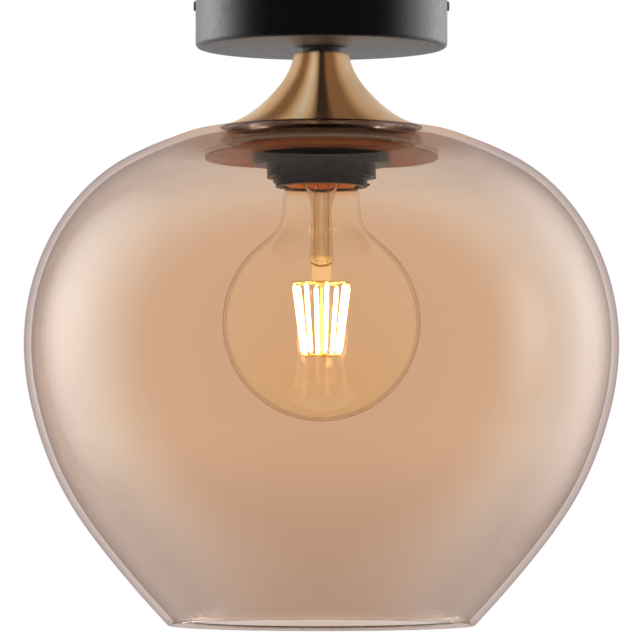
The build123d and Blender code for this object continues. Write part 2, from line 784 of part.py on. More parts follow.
# Lamp eyelet: the centre contact of the lamp's cap
eyelet_r = lamp_eyelet_diameter / 2
eyelet_bottom_z = lamp_top_z - lamp_eyelet_height
with BuildPart() as lamp_eyelet:
    with BuildSketch(Plane.XY.offset(eyelet_bottom_z)):
        Circle(eyelet_r)
    extrude(amount=lamp_eyelet_height)
    fillet(lamp_eyelet.edges().group_by(Axis.Z)[-1], lamp_eyelet_height / 2)
lamp_eyelet.part.label = "lamp_eyelet"
export_step(lamp_eyelet.part, "parts/lamp_eyelet.step")

# Lamp insulator: the black glass cone between eyelet and shell
lamp_inner_r = lamp_core_r - lamp_cap_wall
cone_bottom_z = eyelet_bottom_z - lamp_insulator_height
with BuildPart() as lamp_insulator:
    with BuildSketch(Plane.XZ):
        with BuildLine():
            Polyline(
                (0, eyelet_bottom_z),
                (eyelet_r + lamp_cap_wall, eyelet_bottom_z),
                (lamp_core_r - turning_gap, cone_bottom_z),
                (lamp_core_r - turning_gap, cone_bottom_z - turning_gap),
                (lamp_inner_r - turning_gap, cone_bottom_z - turning_gap),
                (lamp_inner_r - turning_gap, cone_bottom_z - lamp_insulator_sink),
                (0, cone_bottom_z - lamp_insulator_sink),
                close=True,
            )
        make_face()
    revolve(axis=Axis.Z)
lamp_insulator.part.label = "lamp_insulator"
export_step(lamp_insulator.part, "parts/lamp_insulator.step")

# Lamp cap: the screw shell of the lamp, with a plain skirt that holds the globe
lamp_shell_top_z = cone_bottom_z - 2 * turning_gap
with BuildPart() as lamp_cap:
    with BuildSketch(Plane.XY.offset(lamp_skirt_z)):
        Circle(lamp_core_r)
        Circle(lamp_inner_r, mode=Mode.SUBTRACT)
    extrude(amount=lamp_shell_top_z - lamp_skirt_z)
    with BuildSketch(Plane.XY.offset(lamp_skirt_z)):
        Circle(lamp_core_r + lamp_thread_depth / 2)
        Circle(lamp_inner_r, mode=Mode.SUBTRACT)
    extrude(amount=lamp_skirt_height)
    add_thread(
        lamp_core_r - root_sink,
        lamp_crest_r,
        lamp_width,
        lamp_thread_pitch,
        lamp_thread_turns,
        lamp_thread_low_z,
    )
lamp_cap.part.label = "lamp_cap"
export_step(lamp_cap.part, "parts/lamp_cap.step")

# Globe: a thin blown envelope, a ball under a tapering neck that is cemented in the cap
globe_r = globe_diameter / 2
globe_centre_z = globe_bottom_z + globe_r
collar_r = lamp_inner_r - fit
neck_r = globe_neck_diameter / 2
waist_r = globe_waist_diameter / 2
collar_top_z = lamp_skirt_z + globe_collar_height
collar_bottom_z = lamp_skirt_z - seat_gap
neck_z = lamp_skirt_z - globe_neck_drop
waist_z = neck_z - globe_waist_depth
shoulder = radians(globe_shoulder_angle)
shoulder_point = (globe_r * sin(shoulder), globe_centre_z + globe_r * cos(shoulder))
shoulder_heading = (cos(shoulder), -sin(shoulder))
with BuildPart() as lamp_globe:
    with BuildSketch(Plane.XZ):
        with BuildLine():
            Polyline(
                (collar_r - globe_wall, collar_bottom_z),
                (collar_r - globe_wall, collar_top_z),
                (collar_r, collar_top_z),
                (collar_r, collar_bottom_z),
            )
            neck = Spline(
                (collar_r, collar_bottom_z),
                (neck_r, neck_z),
                (waist_r, waist_z),
                shoulder_point,
                tangents=((0, -1), shoulder_heading),
            )
            CenterArc((0, globe_centre_z), globe_r, 90 - globe_shoulder_angle, globe_shoulder_angle - 180)
            Line((0, globe_bottom_z), (0, globe_bottom_z + globe_wall))
            inner_r = globe_r - globe_wall
            CenterArc((0, globe_centre_z), inner_r, 90 - globe_shoulder_angle, globe_shoulder_angle - 180)
            neck_points = wall_points(neck, globe_wall, globe_inner_count)
            Spline(*neck_points, tangents=((0, -1), shoulder_heading))
        make_face()
    revolve(axis=Axis.Z)
lamp_globe.part.label = "lamp_globe"
export_step(lamp_globe.part, "parts/lamp_globe.step")

# Lamp stem: a flared glass tube with an exhaust tube in it, pinched flat at its lower end
foot_r = collar_r - globe_wall - fit
stem_top_r = stem_top_diameter / 2
stem_end_r = stem_end_diameter / 2
foot_z = lamp_skirt_z + globe_collar_height / 2
stem_end_z = lamp_skirt_z - stem_length
pinch_top_z = stem_end_z - stem_pinch_length * stem_pinch_taper_share
pinch_bottom_z = stem_end_z - stem_pinch_length
with BuildPart() as lamp_stem:
    with BuildSketch(Plane.XZ):
        with BuildLine():
            Spline(
                (foot_r, foot_z),
                (stem_top_r, neck_z),
                (stem_end_r, stem_end_z),
                tangents=((-1, -1), (0, -1)),
            )
            Line((stem_end_r, stem_end_z), (stem_end_r - stem_wall, stem_end_z))
            Spline(
                (stem_end_r - stem_wall, stem_end_z),
                (stem_top_r - stem_wall, neck_z),
                (foot_r - stem_wall * sqrt(2), foot_z),
                tangents=((0, 1), (1, 1)),
            )
            Line((foot_r - stem_wall * sqrt(2), foot_z), (foot_r, foot_z))
        make_face()
    revolve(axis=Axis.Z)
    with BuildSketch(Plane.XY.offset(stem_end_z)):
        Circle(stem_end_r)
    with BuildSketch(Plane.XY.offset(pinch_top_z)):
        RectangleRounded(stem_pinch_width, stem_pinch_thickness, stem_pinch_corner)
    loft()
    with BuildSketch(Plane.XY.offset(pinch_bottom_z)):
        RectangleRounded(stem_pinch_width, stem_pinch_thickness, stem_pinch_corner)
    extrude(amount=pinch_top_z - pinch_bottom_z)
    with BuildSketch(Plane.XY.offset(stem_end_z)):
        Circle(exhaust_diameter / 2)
        Circle(exhaust_diameter / 2 - stem_wall, mode=Mode.SUBTRACT)
    extrude(amount=foot_z - stem_end_z)
lamp_stem.part.label = "lamp_stem"
export_step(lamp_stem.part, "parts/lamp_stem.step")

# Cage: wire spokes that hold the filaments, the upper set on the stem and the lower set on a rod
cage_wire_r = cage_wire_diameter / 2
cage_top_z = pinch_bottom_z - cage_hub_height / 2
filament_top_z = cage_top_z - cage_wire_r - fit
filament_drop = sqrt(filament_length**2 - ((filament_top_spread - filament_bottom_spread) / 2) ** 2)
filament_foot_z = filament_top_z - filament_drop
cage_bottom_z = filament_foot_z - fit - cage_wire_r
cages = {
    "lamp_cage_top": (cage_top_z, filament_top_spread / 2, cage_top_hub_diameter / 2),
    "lamp_cage_bottom": (cage_bottom_z, filament_bottom_spread / 2, cage_bottom_hub_diameter / 2),
}
# The first stands a quarter of a step round, so that from the front none hides the one behind it
filament_turns = [360 * (place + filament_start_share) / filament_count for place in range(filament_count)]
for cage_name, (cage_z, spoke_r, hub_r) in cages.items():
    with BuildPart() as cage:
        with BuildSketch(Plane.XY.offset(cage_z - cage_hub_height / 2)):
            Circle(hub_r)
        extrude(amount=cage_hub_height)
        for turn in filament_turns:
            outwards = Vector(cos(radians(turn)), sin(radians(turn)), 0)
            with BuildSketch(Plane(origin=(0, 0, cage_z), x_dir=(0, 0, 1), z_dir=outwards)):
                Circle(cage_wire_r)
            extrude(amount=spoke_r + filament_tab_diameter / 2)
        if cage_name == "lamp_cage_top":
            with BuildSketch(Plane.XY.offset(cage_z)):
                Circle(cage_rod_diameter / 2 + fit)
            extrude(amount=cage_hub_height, both=True, mode=Mode.SUBTRACT)
        else:
            with BuildSketch(Plane.XY.offset(cage_z)):
                Circle(cage_rod_diameter / 2)
            extrude(amount=pinch_bottom_z - cage_z - fit)
    cage.part.label = cage_name
    export_step(cage.part, f"parts/{cage_name}.step")

# Filaments: a crown of thin light rods between the two sets of spokes, closer together below
with BuildPart() as lamp_filaments:
    for turn in filament_turns:
        outwards = Vector(cos(radians(turn)), sin(radians(turn)), 0)
        top = outwards * (filament_top_spread / 2) + Vector(0, 0, filament_top_z - fit)
        bottom = outwards * (filament_bottom_spread / 2) + Vector(0, 0, filament_foot_z + fit)
        along = (bottom - top).normalized()
        with BuildSketch(Plane(origin=top, x_dir=Vector(-outwards.Y, outwards.X, 0), z_dir=along)):
            Circle(filament_tab_diameter / 2)
        extrude(amount=(bottom - top).length)
        rod_start = top + along * filament_tab_length
        with BuildSketch(Plane(origin=rod_start, x_dir=Vector(-outwards.Y, outwards.X, 0), z_dir=along)):
            Circle(filament_diameter / 2)
        extrude(amount=(bottom - top).length - 2 * filament_tab_length)
lamp_filaments.part.label = "lamp_filaments"
export_step(lamp_filaments.part, "parts/lamp_filaments.step")

# Driver: a small circuit board in the lamp's cap, with one round capacitor on its face
driver_top_z = cone_bottom_z - lamp_insulator_sink - fit
with BuildPart() as lamp_driver:
    with BuildSketch(Plane.XZ.offset(-driver_thickness / 2)):
        with Locations((0, driver_top_z - driver_height / 2)):
            Rectangle(driver_width, driver_height)
    extrude(amount=driver_thickness)
    with BuildSketch(Plane.XZ.offset(driver_thickness / 2)):
        with Locations((0, driver_top_z - driver_height / 2)):
            Circle(driver_part_diameter / 2)
    extrude(amount=driver_part_height)
lamp_driver.part.label = "lamp_driver"
export_step(lamp_driver.part, "parts/lamp_driver.step")

# Lead wires: two straight wires beside the exhaust tube, from the driver to the pinch
with BuildPart() as lamp_lead_wires:
    lead_top_z = driver_top_z - driver_height - fit
    with BuildSketch(Plane.XY.offset(lead_top_z)):
        for side in (-1, 1):
            with Locations((side * lead_wire_offset, 0)):
                Circle(cage_wire_r)
    extrude(amount=stem_end_z + turning_gap - lead_top_z)
lamp_lead_wires.part.label = "lamp_lead_wires"
export_step(lamp_lead_wires.part, "parts/lamp_lead_wires.step")

# Terminal block: three poles in one moulding under the bracket, split by two grooves
block_top_z = -bracket_thickness
block_bottom_z = block_top_z - block_height
block_bore_z = block_top_z - block_height / 2
pole_places = (-block_pole_pitch, 0, block_pole_pitch)
pole_screw_x = -block_offset + block_pole_screw_offset
with BuildPart() as terminal_block:
    with BuildSketch(Plane.XY.offset(block_bottom_z)):
        with Locations((-block_offset, 0)):
            RectangleRounded(block_width, block_length, block_gap_width / 2)
    extrude(amount=block_height)
    with BuildSketch(Plane.XY.offset(block_bottom_z)):
        for side in (-1, 1):
            with Locations((-block_offset, side * block_pole_pitch / 2)):
                Rectangle(block_width, block_gap_width)
    extrude(amount=block_gap_depth, mode=Mode.SUBTRACT)
    with BuildSketch(Plane.YZ.offset(-block_offset - block_width / 2)):
        for pole_y in pole_places:
            with Locations((pole_y, block_bore_z)):
                Circle(block_bore / 2)
    extrude(amount=block_width, mode=Mode.SUBTRACT)
    with BuildSketch(Plane.XY.offset(block_bottom_z)):
        for pole_y in pole_places:
            with Locations((pole_screw_x, pole_y)):
                Circle(block_pole_screw_diameter / 2 + fit)
    extrude(amount=block_height / 2, mode=Mode.SUBTRACT)
    with BuildSketch(Plane.XY.offset(block_bottom_z)):
        for side in (-1, 1):
            with Locations((-block_offset, side * block_pole_pitch / 2)):
                Circle(block_screw_diameter / 2 + fit)
    extrude(amount=block_height, mode=Mode.SUBTRACT)
terminal_block.part.label = "terminal_block"
export_step(terminal_block.part, "parts/terminal_block.step")

# Block fixing screws: hold the terminal block up to the bracket through its two grooves
with BuildPart() as block_fixing_screws:
    for side in (-1, 1):
        seat = Plane(
            origin=(-block_offset, side * block_pole_pitch / 2, block_bottom_z + block_gap_depth),
            x_dir=(1, 0, 0),
            z_dir=(0, 0, -1),
        )
        shank_length = block_height - block_gap_depth + bracket_thickness
        add_screw(
            seat,
            block_screw_diameter / 2,
            shank_length,
            block_gap_width / 2 - fit,
            block_screw_head_height,
        )
block_fixing_screws.part.label = "block_fixing_screws"
export_step(block_fixing_screws.part, "parts/block_fixing_screws.step")

# Pole screws: clamp the wires in the terminal block
with BuildPart() as block_pole_screws:
    for pole_y in pole_places:
        seat = Plane(
            origin=(pole_screw_x, pole_y, block_bottom_z + block_pole_screw_sink),
            x_dir=(1, 0, 0),
            z_dir=(0, 0, 1),
        )
        with BuildSketch(seat):
            Circle(block_pole_screw_diameter / 2)
        extrude(amount=block_height / 2 - block_pole_screw_sink - wire_diameter / 2 - fit)
        with BuildSketch(seat):
            Rectangle(block_pole_screw_diameter, screw_slot_width)
        extrude(amount=screw_slot_depth, mode=Mode.SUBTRACT)
block_pole_screws.part.label = "block_pole_screws"
export_step(block_pole_screws.part, "parts/block_pole_screws.step")

# Earth screw: a pan-head screw up into the bracket
earth_seat_z = -bracket_thickness - earth_tag_thickness
with BuildPart() as earth_screw:
    seat = Plane(origin=(earth_screw_offset, 0, earth_seat_z), x_dir=(1, 0, 0), z_dir=(0, 0, -1))
    shank_length = bracket_thickness + earth_tag_thickness
    add_screw(seat, earth_screw_diameter / 2, shank_length, earth_screw_head / 2, earth_screw_head_height)
earth_screw.part.label = "earth_screw"
export_step(earth_screw.part, "parts/earth_screw.step")

# Earth tag: the ring terminal under the earth screw, with a barrel for its wire
barrel_r = wire_diameter / 2 + earth_tag_thickness
barrel_x = earth_screw_offset - earth_screw_head / 2 - earth_tag_neck
barrel_z = -bracket_thickness - barrel_r
with BuildPart() as earth_tag:
    with BuildSketch(Plane.XY.offset(earth_seat_z)):
        with Locations((earth_screw_offset, 0)):
            Circle(earth_screw_head / 2)
        with Locations((earth_screw_offset - earth_screw_head / 2, 0)):
            Rectangle(2 * earth_tag_neck, 2 * barrel_r)
        with Locations((earth_screw_offset, 0)):
            Circle(earth_screw_diameter / 2 + fit, mode=Mode.SUBTRACT)
    extrude(amount=earth_tag_thickness)
    with BuildSketch(Plane.YZ.offset(barrel_x - earth_tag_barrel)):
        with Locations((0, barrel_z)):
            Circle(barrel_r)
    extrude(amount=earth_tag_barrel)
    with BuildSketch(Plane.YZ.offset(barrel_x - earth_tag_barrel)):
        with Locations((0, barrel_z)):
            Circle(wire_diameter / 2 + fit)
    extrude(amount=earth_tag_barrel - earth_tag_thickness, mode=Mode.SUBTRACT)
earth_tag.part.label = "earth_tag"
export_step(earth_tag.part, "parts/earth_tag.step")

# Wires: live and neutral run from the block down the tube to the deck, earth to its tag
wire_end_x = -block_offset + block_width / 2 - wire_grip
deck_wire_z = strip_top_z + contact_screw_head_height / 2
deck_wire_x = contact_screw_offset - contact_screw_head / 2 - wire_end_gap
wire_routes = {
    "live_wire": [
        (wire_end_x, block_pole_pitch, block_bore_z),
        (wire_end_x + wire_grip + wire_rise, block_pole_pitch, block_bore_z),
        (-wire_rise, block_pole_pitch / 2, block_bore_z - wire_rise / 2),
        (wire_place_in_tube, 0, tube_top_z + wire_rise),
        (wire_place_in_tube, 0, tube_bottom_z),
        (deck_wire_x, 0, deck_wire_z),
    ],
    "neutral_wire": [
        (wire_end_x, -block_pole_pitch, block_bore_z),
        (wire_end_x + wire_grip + wire_rise, -block_pole_pitch, block_bore_z),
        (-2 * wire_rise, -block_pole_pitch / 2, block_bore_z - wire_rise / 2),
        (-wire_place_in_tube, 0, tube_top_z + wire_rise),
        (-wire_place_in_tube, 0, tube_bottom_z),
        (-deck_wire_x, 0, deck_wire_z),
    ],
    "earth_wire": [
        (wire_end_x, 0, block_bore_z),
        (wire_end_x + wire_grip + wire_rise, 0, block_bore_z),
        (wire_rise, 0, barrel_z),
        (barrel_x - earth_tag_thickness - fit, 0, barrel_z),
    ],
}
for wire_name, route in wire_routes.items():
    radii = wire_path_radii(route)
    with BuildPart() as wire:
        with BuildLine() as run:
            FilletPolyline(*route, radius=radii)
        with BuildSketch(Plane(origin=run.line @ 0, z_dir=run.line % 0)) as section:
            Circle(wire_diameter / 2)
        sweep(sections=section.sketch, path=run.line)
    wire_length = run.wires()[0].length
    print(wire_name, "radii", [round(radius, 1) for radius in radii], "length", round(wire_length, 1))
    wire_volume = pi * (wire_diameter / 2) ** 2 * wire_length
    print(wire_name, "volume over section times length", round(wire.part.volume / wire_volume, 4))
    wire.part.label = wire_name
    export_step(wire.part, f"parts/{wire_name}.step")
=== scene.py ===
# %% [markdown]
# # A glass ceiling light, dressed
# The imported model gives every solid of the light, in metres, in one frame: the ceiling is z = 0 and
# the light hangs below it. This lesson gives each solid its finish, turns the glass and the trumpet
# again with a smoother surface, and sets up a plain studio round them.

# %% Load the frame
from math import atan, cos, degrees, pi, radians, sin

import bpy
from mathutils import Matrix, Vector


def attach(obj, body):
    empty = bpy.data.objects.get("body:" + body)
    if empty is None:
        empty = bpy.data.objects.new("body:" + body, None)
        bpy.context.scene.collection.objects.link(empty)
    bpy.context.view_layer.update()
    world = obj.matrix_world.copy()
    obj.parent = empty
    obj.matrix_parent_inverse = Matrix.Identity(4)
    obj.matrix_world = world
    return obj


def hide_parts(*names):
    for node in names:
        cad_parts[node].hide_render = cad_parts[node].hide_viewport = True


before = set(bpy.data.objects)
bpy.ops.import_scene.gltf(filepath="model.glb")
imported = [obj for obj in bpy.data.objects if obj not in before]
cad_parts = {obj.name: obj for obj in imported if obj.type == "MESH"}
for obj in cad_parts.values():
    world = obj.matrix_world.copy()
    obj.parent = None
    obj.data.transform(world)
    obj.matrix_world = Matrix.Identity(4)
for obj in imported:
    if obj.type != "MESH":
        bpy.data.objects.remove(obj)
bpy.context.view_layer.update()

MM = 0.001

# %% [markdown]
# ## Camera
# The photo was taken from far away, a little below the light, so the far and near rims almost meet.
# A camera close by could show the same width, but its rims would come out rounder. A long lens at
# 3.6 m gives the photo's flat look. Its frame is 259 mm wide at the light's axis, and the camera looks
# up by about four degrees.

# %% Place the camera
VIEW_WIDTH = 258.6 * MM
VIEW_DISTANCE = 3.636
AIM = Vector((-0.6 * MM, 0.0, -135.4 * MM))
EYE_HEIGHT = -394.0 * MM
SENSOR_WIDTH = 36.0
CLIP_END = 100.0

eye = Vector((AIM.x, -VIEW_DISTANCE, EYE_HEIGHT))
camera_data = bpy.data.cameras.new("studio_camera")
camera_data.sensor_width = SENSOR_WIDTH
camera_data.lens = SENSOR_WIDTH * (AIM - eye).length / VIEW_WIDTH
camera_data.clip_end = CLIP_END
camera = bpy.data.objects.new("studio_camera", camera_data)
bpy.context.scene.collection.objects.link(camera)
camera.location = eye
camera.rotation_euler = (AIM - eye).to_track_quat("-Z", "Y").to_euler()
bpy.context.scene.camera = camera
tilt = degrees(atan((AIM.z - eye.z) / VIEW_DISTANCE))
print("lens:", round(camera_data.lens), "mm, looking up by", round(tilt, 1), "degrees")

# %% [markdown]
# ## Studio
# A white world shows behind the light, in its metal and through its glass. The same world lights the
# light's rough surfaces at a lower level. One strength for both would be simpler, but then either the
# backdrop is grey or the colours wash out. The Light Path node tells the two uses apart.

# %% Light the world
AMBIENT = 0.62
GLASS_BOUNCES = 32


def add_seen_ray(tree):
    """A factor that is 1 for rays that show the backdrop: straight, in gloss and through glass."""
    rays = tree.nodes.new("ShaderNodeLightPath")
    straight_or_gloss = tree.nodes.new("ShaderNodeMath")
    straight_or_gloss.operation = "MAXIMUM"
    seen = tree.nodes.new("ShaderNodeMath")
    seen.operation = "MAXIMUM"
    tree.links.new(rays.outputs["Is Camera Ray"], straight_or_gloss.inputs[0])
    tree.links.new(rays.outputs["Is Glossy Ray"], straight_or_gloss.inputs[1])
    tree.links.new(straight_or_gloss.outputs[0], seen.inputs[0])
    tree.links.new(rays.outputs["Is Transmission Ray"], seen.inputs[1])
    return seen.outputs[0]


world = bpy.data.worlds.new("studio_world")
bpy.context.scene.world = world
world.use_nodes = True
sky = world.node_tree
backdrop = sky.nodes["Background"]
backdrop.inputs["Color"].default_value = (1.0, 1.0, 1.0, 1.0)
backdrop.inputs["Strength"].default_value = 1.0
ambient = sky.nodes.new("ShaderNodeBackground")
ambient.inputs["Color"].default_value = (1.0, 0.99, 0.975, 1.0)
ambient.inputs["Strength"].default_value = AMBIENT
choice = sky.nodes.new("ShaderNodeMixShader")
sky.links.new(add_seen_ray(sky), choice.inputs["Fac"])
sky.links.new(ambient.outputs[0], choice.inputs[1])
sky.links.new(backdrop.outputs[0], choice.inputs[2])
sky.links.new(choice.outputs[0], sky.nodes["World Output"].inputs["Surface"])

bpy.context.scene.view_settings.view_transform = "Standard"
bpy.context.scene.cycles.max_bounces = GLASS_BOUNCES
bpy.context.scene.cycles.transmission_bounces = GLASS_BOUNCES
bpy.context.scene.cycles.transparent_max_bounces = GLASS_BOUNCES
print("world: white where seen, level", AMBIENT, "as light")

# %% [markdown]
# Three large soft lamps give each form a lit side: from the left, from the right and from above behind.
# Small lamps would do too, but they draw hard shadows. These stay out of reflections, because the
# softboxes that follow are shaped for those.


# %% Hang the soft lamps
LAMP_SIZE = 0.9


def add_soft_lamp(name, place, power):
    """A square lamp that faces the middle of the light."""
    data = bpy.data.lights.new(name, "AREA")
    data.size = LAMP_SIZE
    data.energy = power
    lamp = bpy.data.objects.new(name, data)
    bpy.context.scene.collection.objects.link(lamp)
    lamp.location = place
    lamp.rotation_euler = (AIM - Vector(place)).to_track_quat("-Z", "Y").to_euler()
    lamp.visible_camera = False
    lamp.visible_glossy = False
    lamp.visible_transmission = False


add_soft_lamp("left_softbox", (-1.4, -1.05, 0.0), 15.0)
add_soft_lamp("right_softbox", (1.4, -1.05, -0.1), 13.0)
add_soft_lamp("top_softbox", (0.0, 1.0, 1.3), 6.0)

# %% [markdown]
# What shows in the glass is hung up as flat sheets. A real lamp could do it, but it would light the
# pieces as well, while a sheet can be left out of all but the reflections. Each fades from its middle
# outwards, so that it leaves no hard edge on the glass.


# %% Helper for a sheet that only reflections show
def add_sheet(name, place, width, height):
    """A flat sheet seen only in reflections; gives it, its paint's nodes and the fade from its middle."""
    bpy.ops.object.select_all(action="DESELECT")
    bpy.ops.mesh.primitive_plane_add(size=2.0)
    sheet = bpy.context.object
    sheet.name = name
    sheet.scale = (width / 2, height / 2, 1.0)
    sheet.location = place
    sheet.visible_camera = False
    sheet.visible_diffuse = False
    sheet.visible_shadow = False
    sheet.visible_transmission = False
    paint = bpy.data.materials.new(name)
    paint.use_nodes = True
    sheet.data.materials.append(paint)
    tree = paint.node_tree
    where = tree.nodes.new("ShaderNodeTexCoord")
    fade = tree.nodes.new("ShaderNodeTexGradient")
    fade.gradient_type = "SPHERICAL"
    tree.links.new(where.outputs["Object"], fade.inputs["Vector"])
    return sheet, tree, fade.outputs["Fac"]


print("sheet helper ready")

# %% [markdown]
# The pale soft bands on the glass are reflections of tall softboxes. Each is a panel a little behind
# the light, to the left or right. A narrow third one at the right gives the canopy its soft light
# streak.


# %% Stand up the softboxes
def add_softbox(name, place, width, height, brightness):
    """A panel that faces the light and fades from its middle to its edges."""
    panel, tree, fade = add_sheet(name, place, width, height)
    panel.rotation_euler = (AIM - Vector(place)).to_track_quat("Z", "Y").to_euler()
    tree.nodes.remove(tree.nodes["Principled BSDF"])
    power = tree.nodes.new("ShaderNodeMath")
    power.operation = "MULTIPLY"
    power.inputs[1].default_value = brightness
    shine = tree.nodes.new("ShaderNodeEmission")
    clear = tree.nodes.new("ShaderNodeBsdfTransparent")
    both = tree.nodes.new("ShaderNodeAddShader")
    tree.links.new(fade, power.inputs[0])
    tree.links.new(power.outputs[0], shine.inputs["Strength"])
    tree.links.new(shine.outputs[0], both.inputs[0])
    tree.links.new(clear.outputs[0], both.inputs[1])
    tree.links.new(both.outputs[0], tree.nodes["Material Output"].inputs["Surface"])
    print("softbox:", name)


add_softbox("left_panel", (-1.64, 0.43, 0.15), 2.2, 3.2, 6.2)
add_softbox("right_panel", (1.46, 0.86, 0.15), 2.4, 3.2, 3.2)
add_softbox("right_strip", (1.72, -0.24, 0.0), 0.9, 1.6, 8.0)

# %% [markdown]
# The top of the glass is seen at a glancing angle, so it mirrors what is above and behind. A photographer
# hangs a black card there, and the dark lampholder reads clearly through the glass.


# %% Hang the black card
CARD_SOFT_EDGE = 0.35


def add_card(name, place, width, depth):
    """A level black card that fades out towards its edges."""
    card, tree, fade = add_sheet(name, place, width, depth)
    black = tree.nodes["Principled BSDF"]
    black.inputs["Base Color"].default_value = (0.01, 0.01, 0.01, 1.0)
    black.inputs["Roughness"].default_value = 1.0
    black.inputs["Specular IOR Level"].default_value = 0.0
    edge = tree.nodes.new("ShaderNodeMapRange")
    edge.inputs["From Max"].default_value = CARD_SOFT_EDGE
    clear = tree.nodes.new("ShaderNodeBsdfTransparent")
    both = tree.nodes.new("ShaderNodeMixShader")
    tree.links.new(fade, edge.inputs["Value"])
    tree.links.new(edge.outputs["Result"], both.inputs["Fac"])
    tree.links.new(clear.outputs[0], both.inputs[1])
    tree.links.new(black.outputs[0], both.inputs[2])
    tree.links.new(both.outputs[0], tree.nodes["Material Output"].inputs["Surface"])
    print("card:", name)


add_card("black_card", (0.0, 1.35, 1.2), 1.3, 3.4)

# %% [markdown]
# The floor is one large plane, six metres down, as under a light in a stairwell, so that it is out of the
# way from below too. It shows white to the camera but keeps a trace of its own shading, so that a
# shadow on it can still be seen.

# %% Lay the floor
FLOOR_SIZE = 60.0
FLOOR_DEPTH = 6.0
FLOOR_SHADE = 0.12

bpy.ops.object.select_all(action="DESELECT")
bpy.ops.mesh.primitive_plane_add(size=FLOOR_SIZE, location=(0.0, 0.0, 0.0))
floor = bpy.context.object
floor.name = "studio_floor"
floor.data.transform(Matrix.Translation((0.0, 0.0, -FLOOR_DEPTH)))

floor_paint = bpy.data.materials.new("studio_floor")
floor_paint.use_nodes = True
tree = floor_paint.node_tree
matt = tree.nodes["Principled BSDF"]
matt.inputs["Base Color"].default_value = (0.9, 0.9, 0.89, 1.0)
matt.inputs["Roughness"].default_value = 0.9
glow = tree.nodes.new("ShaderNodeEmission")
glow.inputs["Strength"].default_value = 1.0
keep_shadow = tree.nodes.new("ShaderNodeMath")
keep_shadow.operation = "MULTIPLY"
keep_shadow.inputs[1].default_value = 1.0 - FLOOR_SHADE
floor_mix = tree.nodes.new("ShaderNodeMixShader")
tree.links.new(add_seen_ray(tree), keep_shadow.inputs[0])
tree.links.new(keep_shadow.outputs[0], floor_mix.inputs["Fac"])
tree.links.new(matt.outputs[0], floor_mix.inputs[1])
tree.links.new(glow.outputs[0], floor_mix.inputs[2])
tree.links.new(floor_mix.outputs[0], tree.nodes["Material Output"].inputs["Surface"])
floor.data.materials.append(floor_paint)
print("floor:", FLOOR_DEPTH, "m below the ceiling")

# %% [markdown]
# ## Finishes
# Each finish starts from one Principled shader. Pictures of real surfaces could be wrapped on instead,
# but they show seams on round pieces. Here noise lays the detail: it sits still on the piece and stays
# fine however close the camera comes. What is the same all over goes straight on the shader.


# %% Start a finish and lay a grain
def start_finish(name, colour, roughness, metallic=0.0, **settings):
    """A new finish with one shader: its plain colour, roughness and what else is the same all over."""
    finish = bpy.data.materials.new(name)
    finish.use_nodes = True
    shader = finish.node_tree.nodes["Principled BSDF"]
    shader.inputs["Base Color"].default_value = (*colour, 1.0)
    shader.inputs["Roughness"].default_value = roughness
    shader.inputs["Metallic"].default_value = metallic
    for socket, value in settings.items():
        shader.inputs[socket.replace("_", " ")].default_value = value
    return finish


def add_grain(finish, scale, detail=4.0):
    """Noise fixed to the piece."""
    nodes, links = finish.node_tree.nodes, finish.node_tree.links
    place = nodes.new("ShaderNodeTexCoord")
    noise = nodes.new("ShaderNodeTexNoise")
    noise.inputs["Scale"].default_value = scale
    noise.inputs["Detail"].default_value = detail
    links.new(place.outputs["Object"], noise.inputs["Vector"])
    return noise.outputs["Fac"]


print("finish and grain helpers ready")

# %% [markdown]
# The grain, or any other value, then drives the colour through a ramp, the roughness within two limits,
# or a bump. The bump is only for what is finer than a tenth of a millimetre; every form that shows is
# in the mesh.


# %% Let a grain change colour, roughness and height
GRAIN_LOW, GRAIN_HIGH = 0.3, 0.7


def add_ramp(finish, value, stops):
    """A colour that follows the value; stops are (place, colour) pairs, from 0 to 1."""
    nodes, links = finish.node_tree.nodes, finish.node_tree.links
    ramp = nodes.new("ShaderNodeValToRGB")
    elements = ramp.color_ramp.elements
    elements[0].position, elements[-1].position = stops[0][0], stops[-1][0]
    for place, _ in stops[1:-1]:
        elements.new(place)
    for element, (_, colour) in zip(elements, stops):
        element.color = (*colour, 1.0)
    links.new(value, ramp.inputs["Fac"])
    return ramp.outputs["Color"]


def vary_colour(finish, grain, stops):
    """The piece's own colour follows the grain."""
    base = finish.node_tree.nodes["Principled BSDF"].inputs["Base Color"]
    finish.node_tree.links.new(add_ramp(finish, grain, stops), base)


def vary_roughness(finish, grain, low, high):
    """Roughness from low to high across the middle of the grain."""
    nodes, links = finish.node_tree.nodes, finish.node_tree.links
    spread = nodes.new("ShaderNodeMapRange")
    spread.inputs["From Min"].default_value = GRAIN_LOW
    spread.inputs["From Max"].default_value = GRAIN_HIGH
    spread.inputs["To Min"].default_value = low
    spread.inputs["To Max"].default_value = high
    links.new(grain, spread.inputs["Value"])
    links.new(spread.outputs["Result"], nodes["Principled BSDF"].inputs["Roughness"])


def add_bump(finish, grain, depth):
    """Raises the surface by up to depth where the grain is light."""
    nodes, links = finish.node_tree.nodes, finish.node_tree.links
    bump = nodes.new("ShaderNodeBump")
    bump.inputs["Distance"].default_value = depth
    bump.inputs["Strength"].default_value = 1.0
    links.new(grain, bump.inputs["Height"])
    links.new(bump.outputs["Normal"], nodes["Principled BSDF"].inputs["Normal"])


print("colour, roughness and bump helpers ready")

# %% [markdown]
# A matte coat still shines where it is seen at a glancing angle. The shader does this by itself, but
# less than a powder coat does, so its reflection is turned up towards the outline.


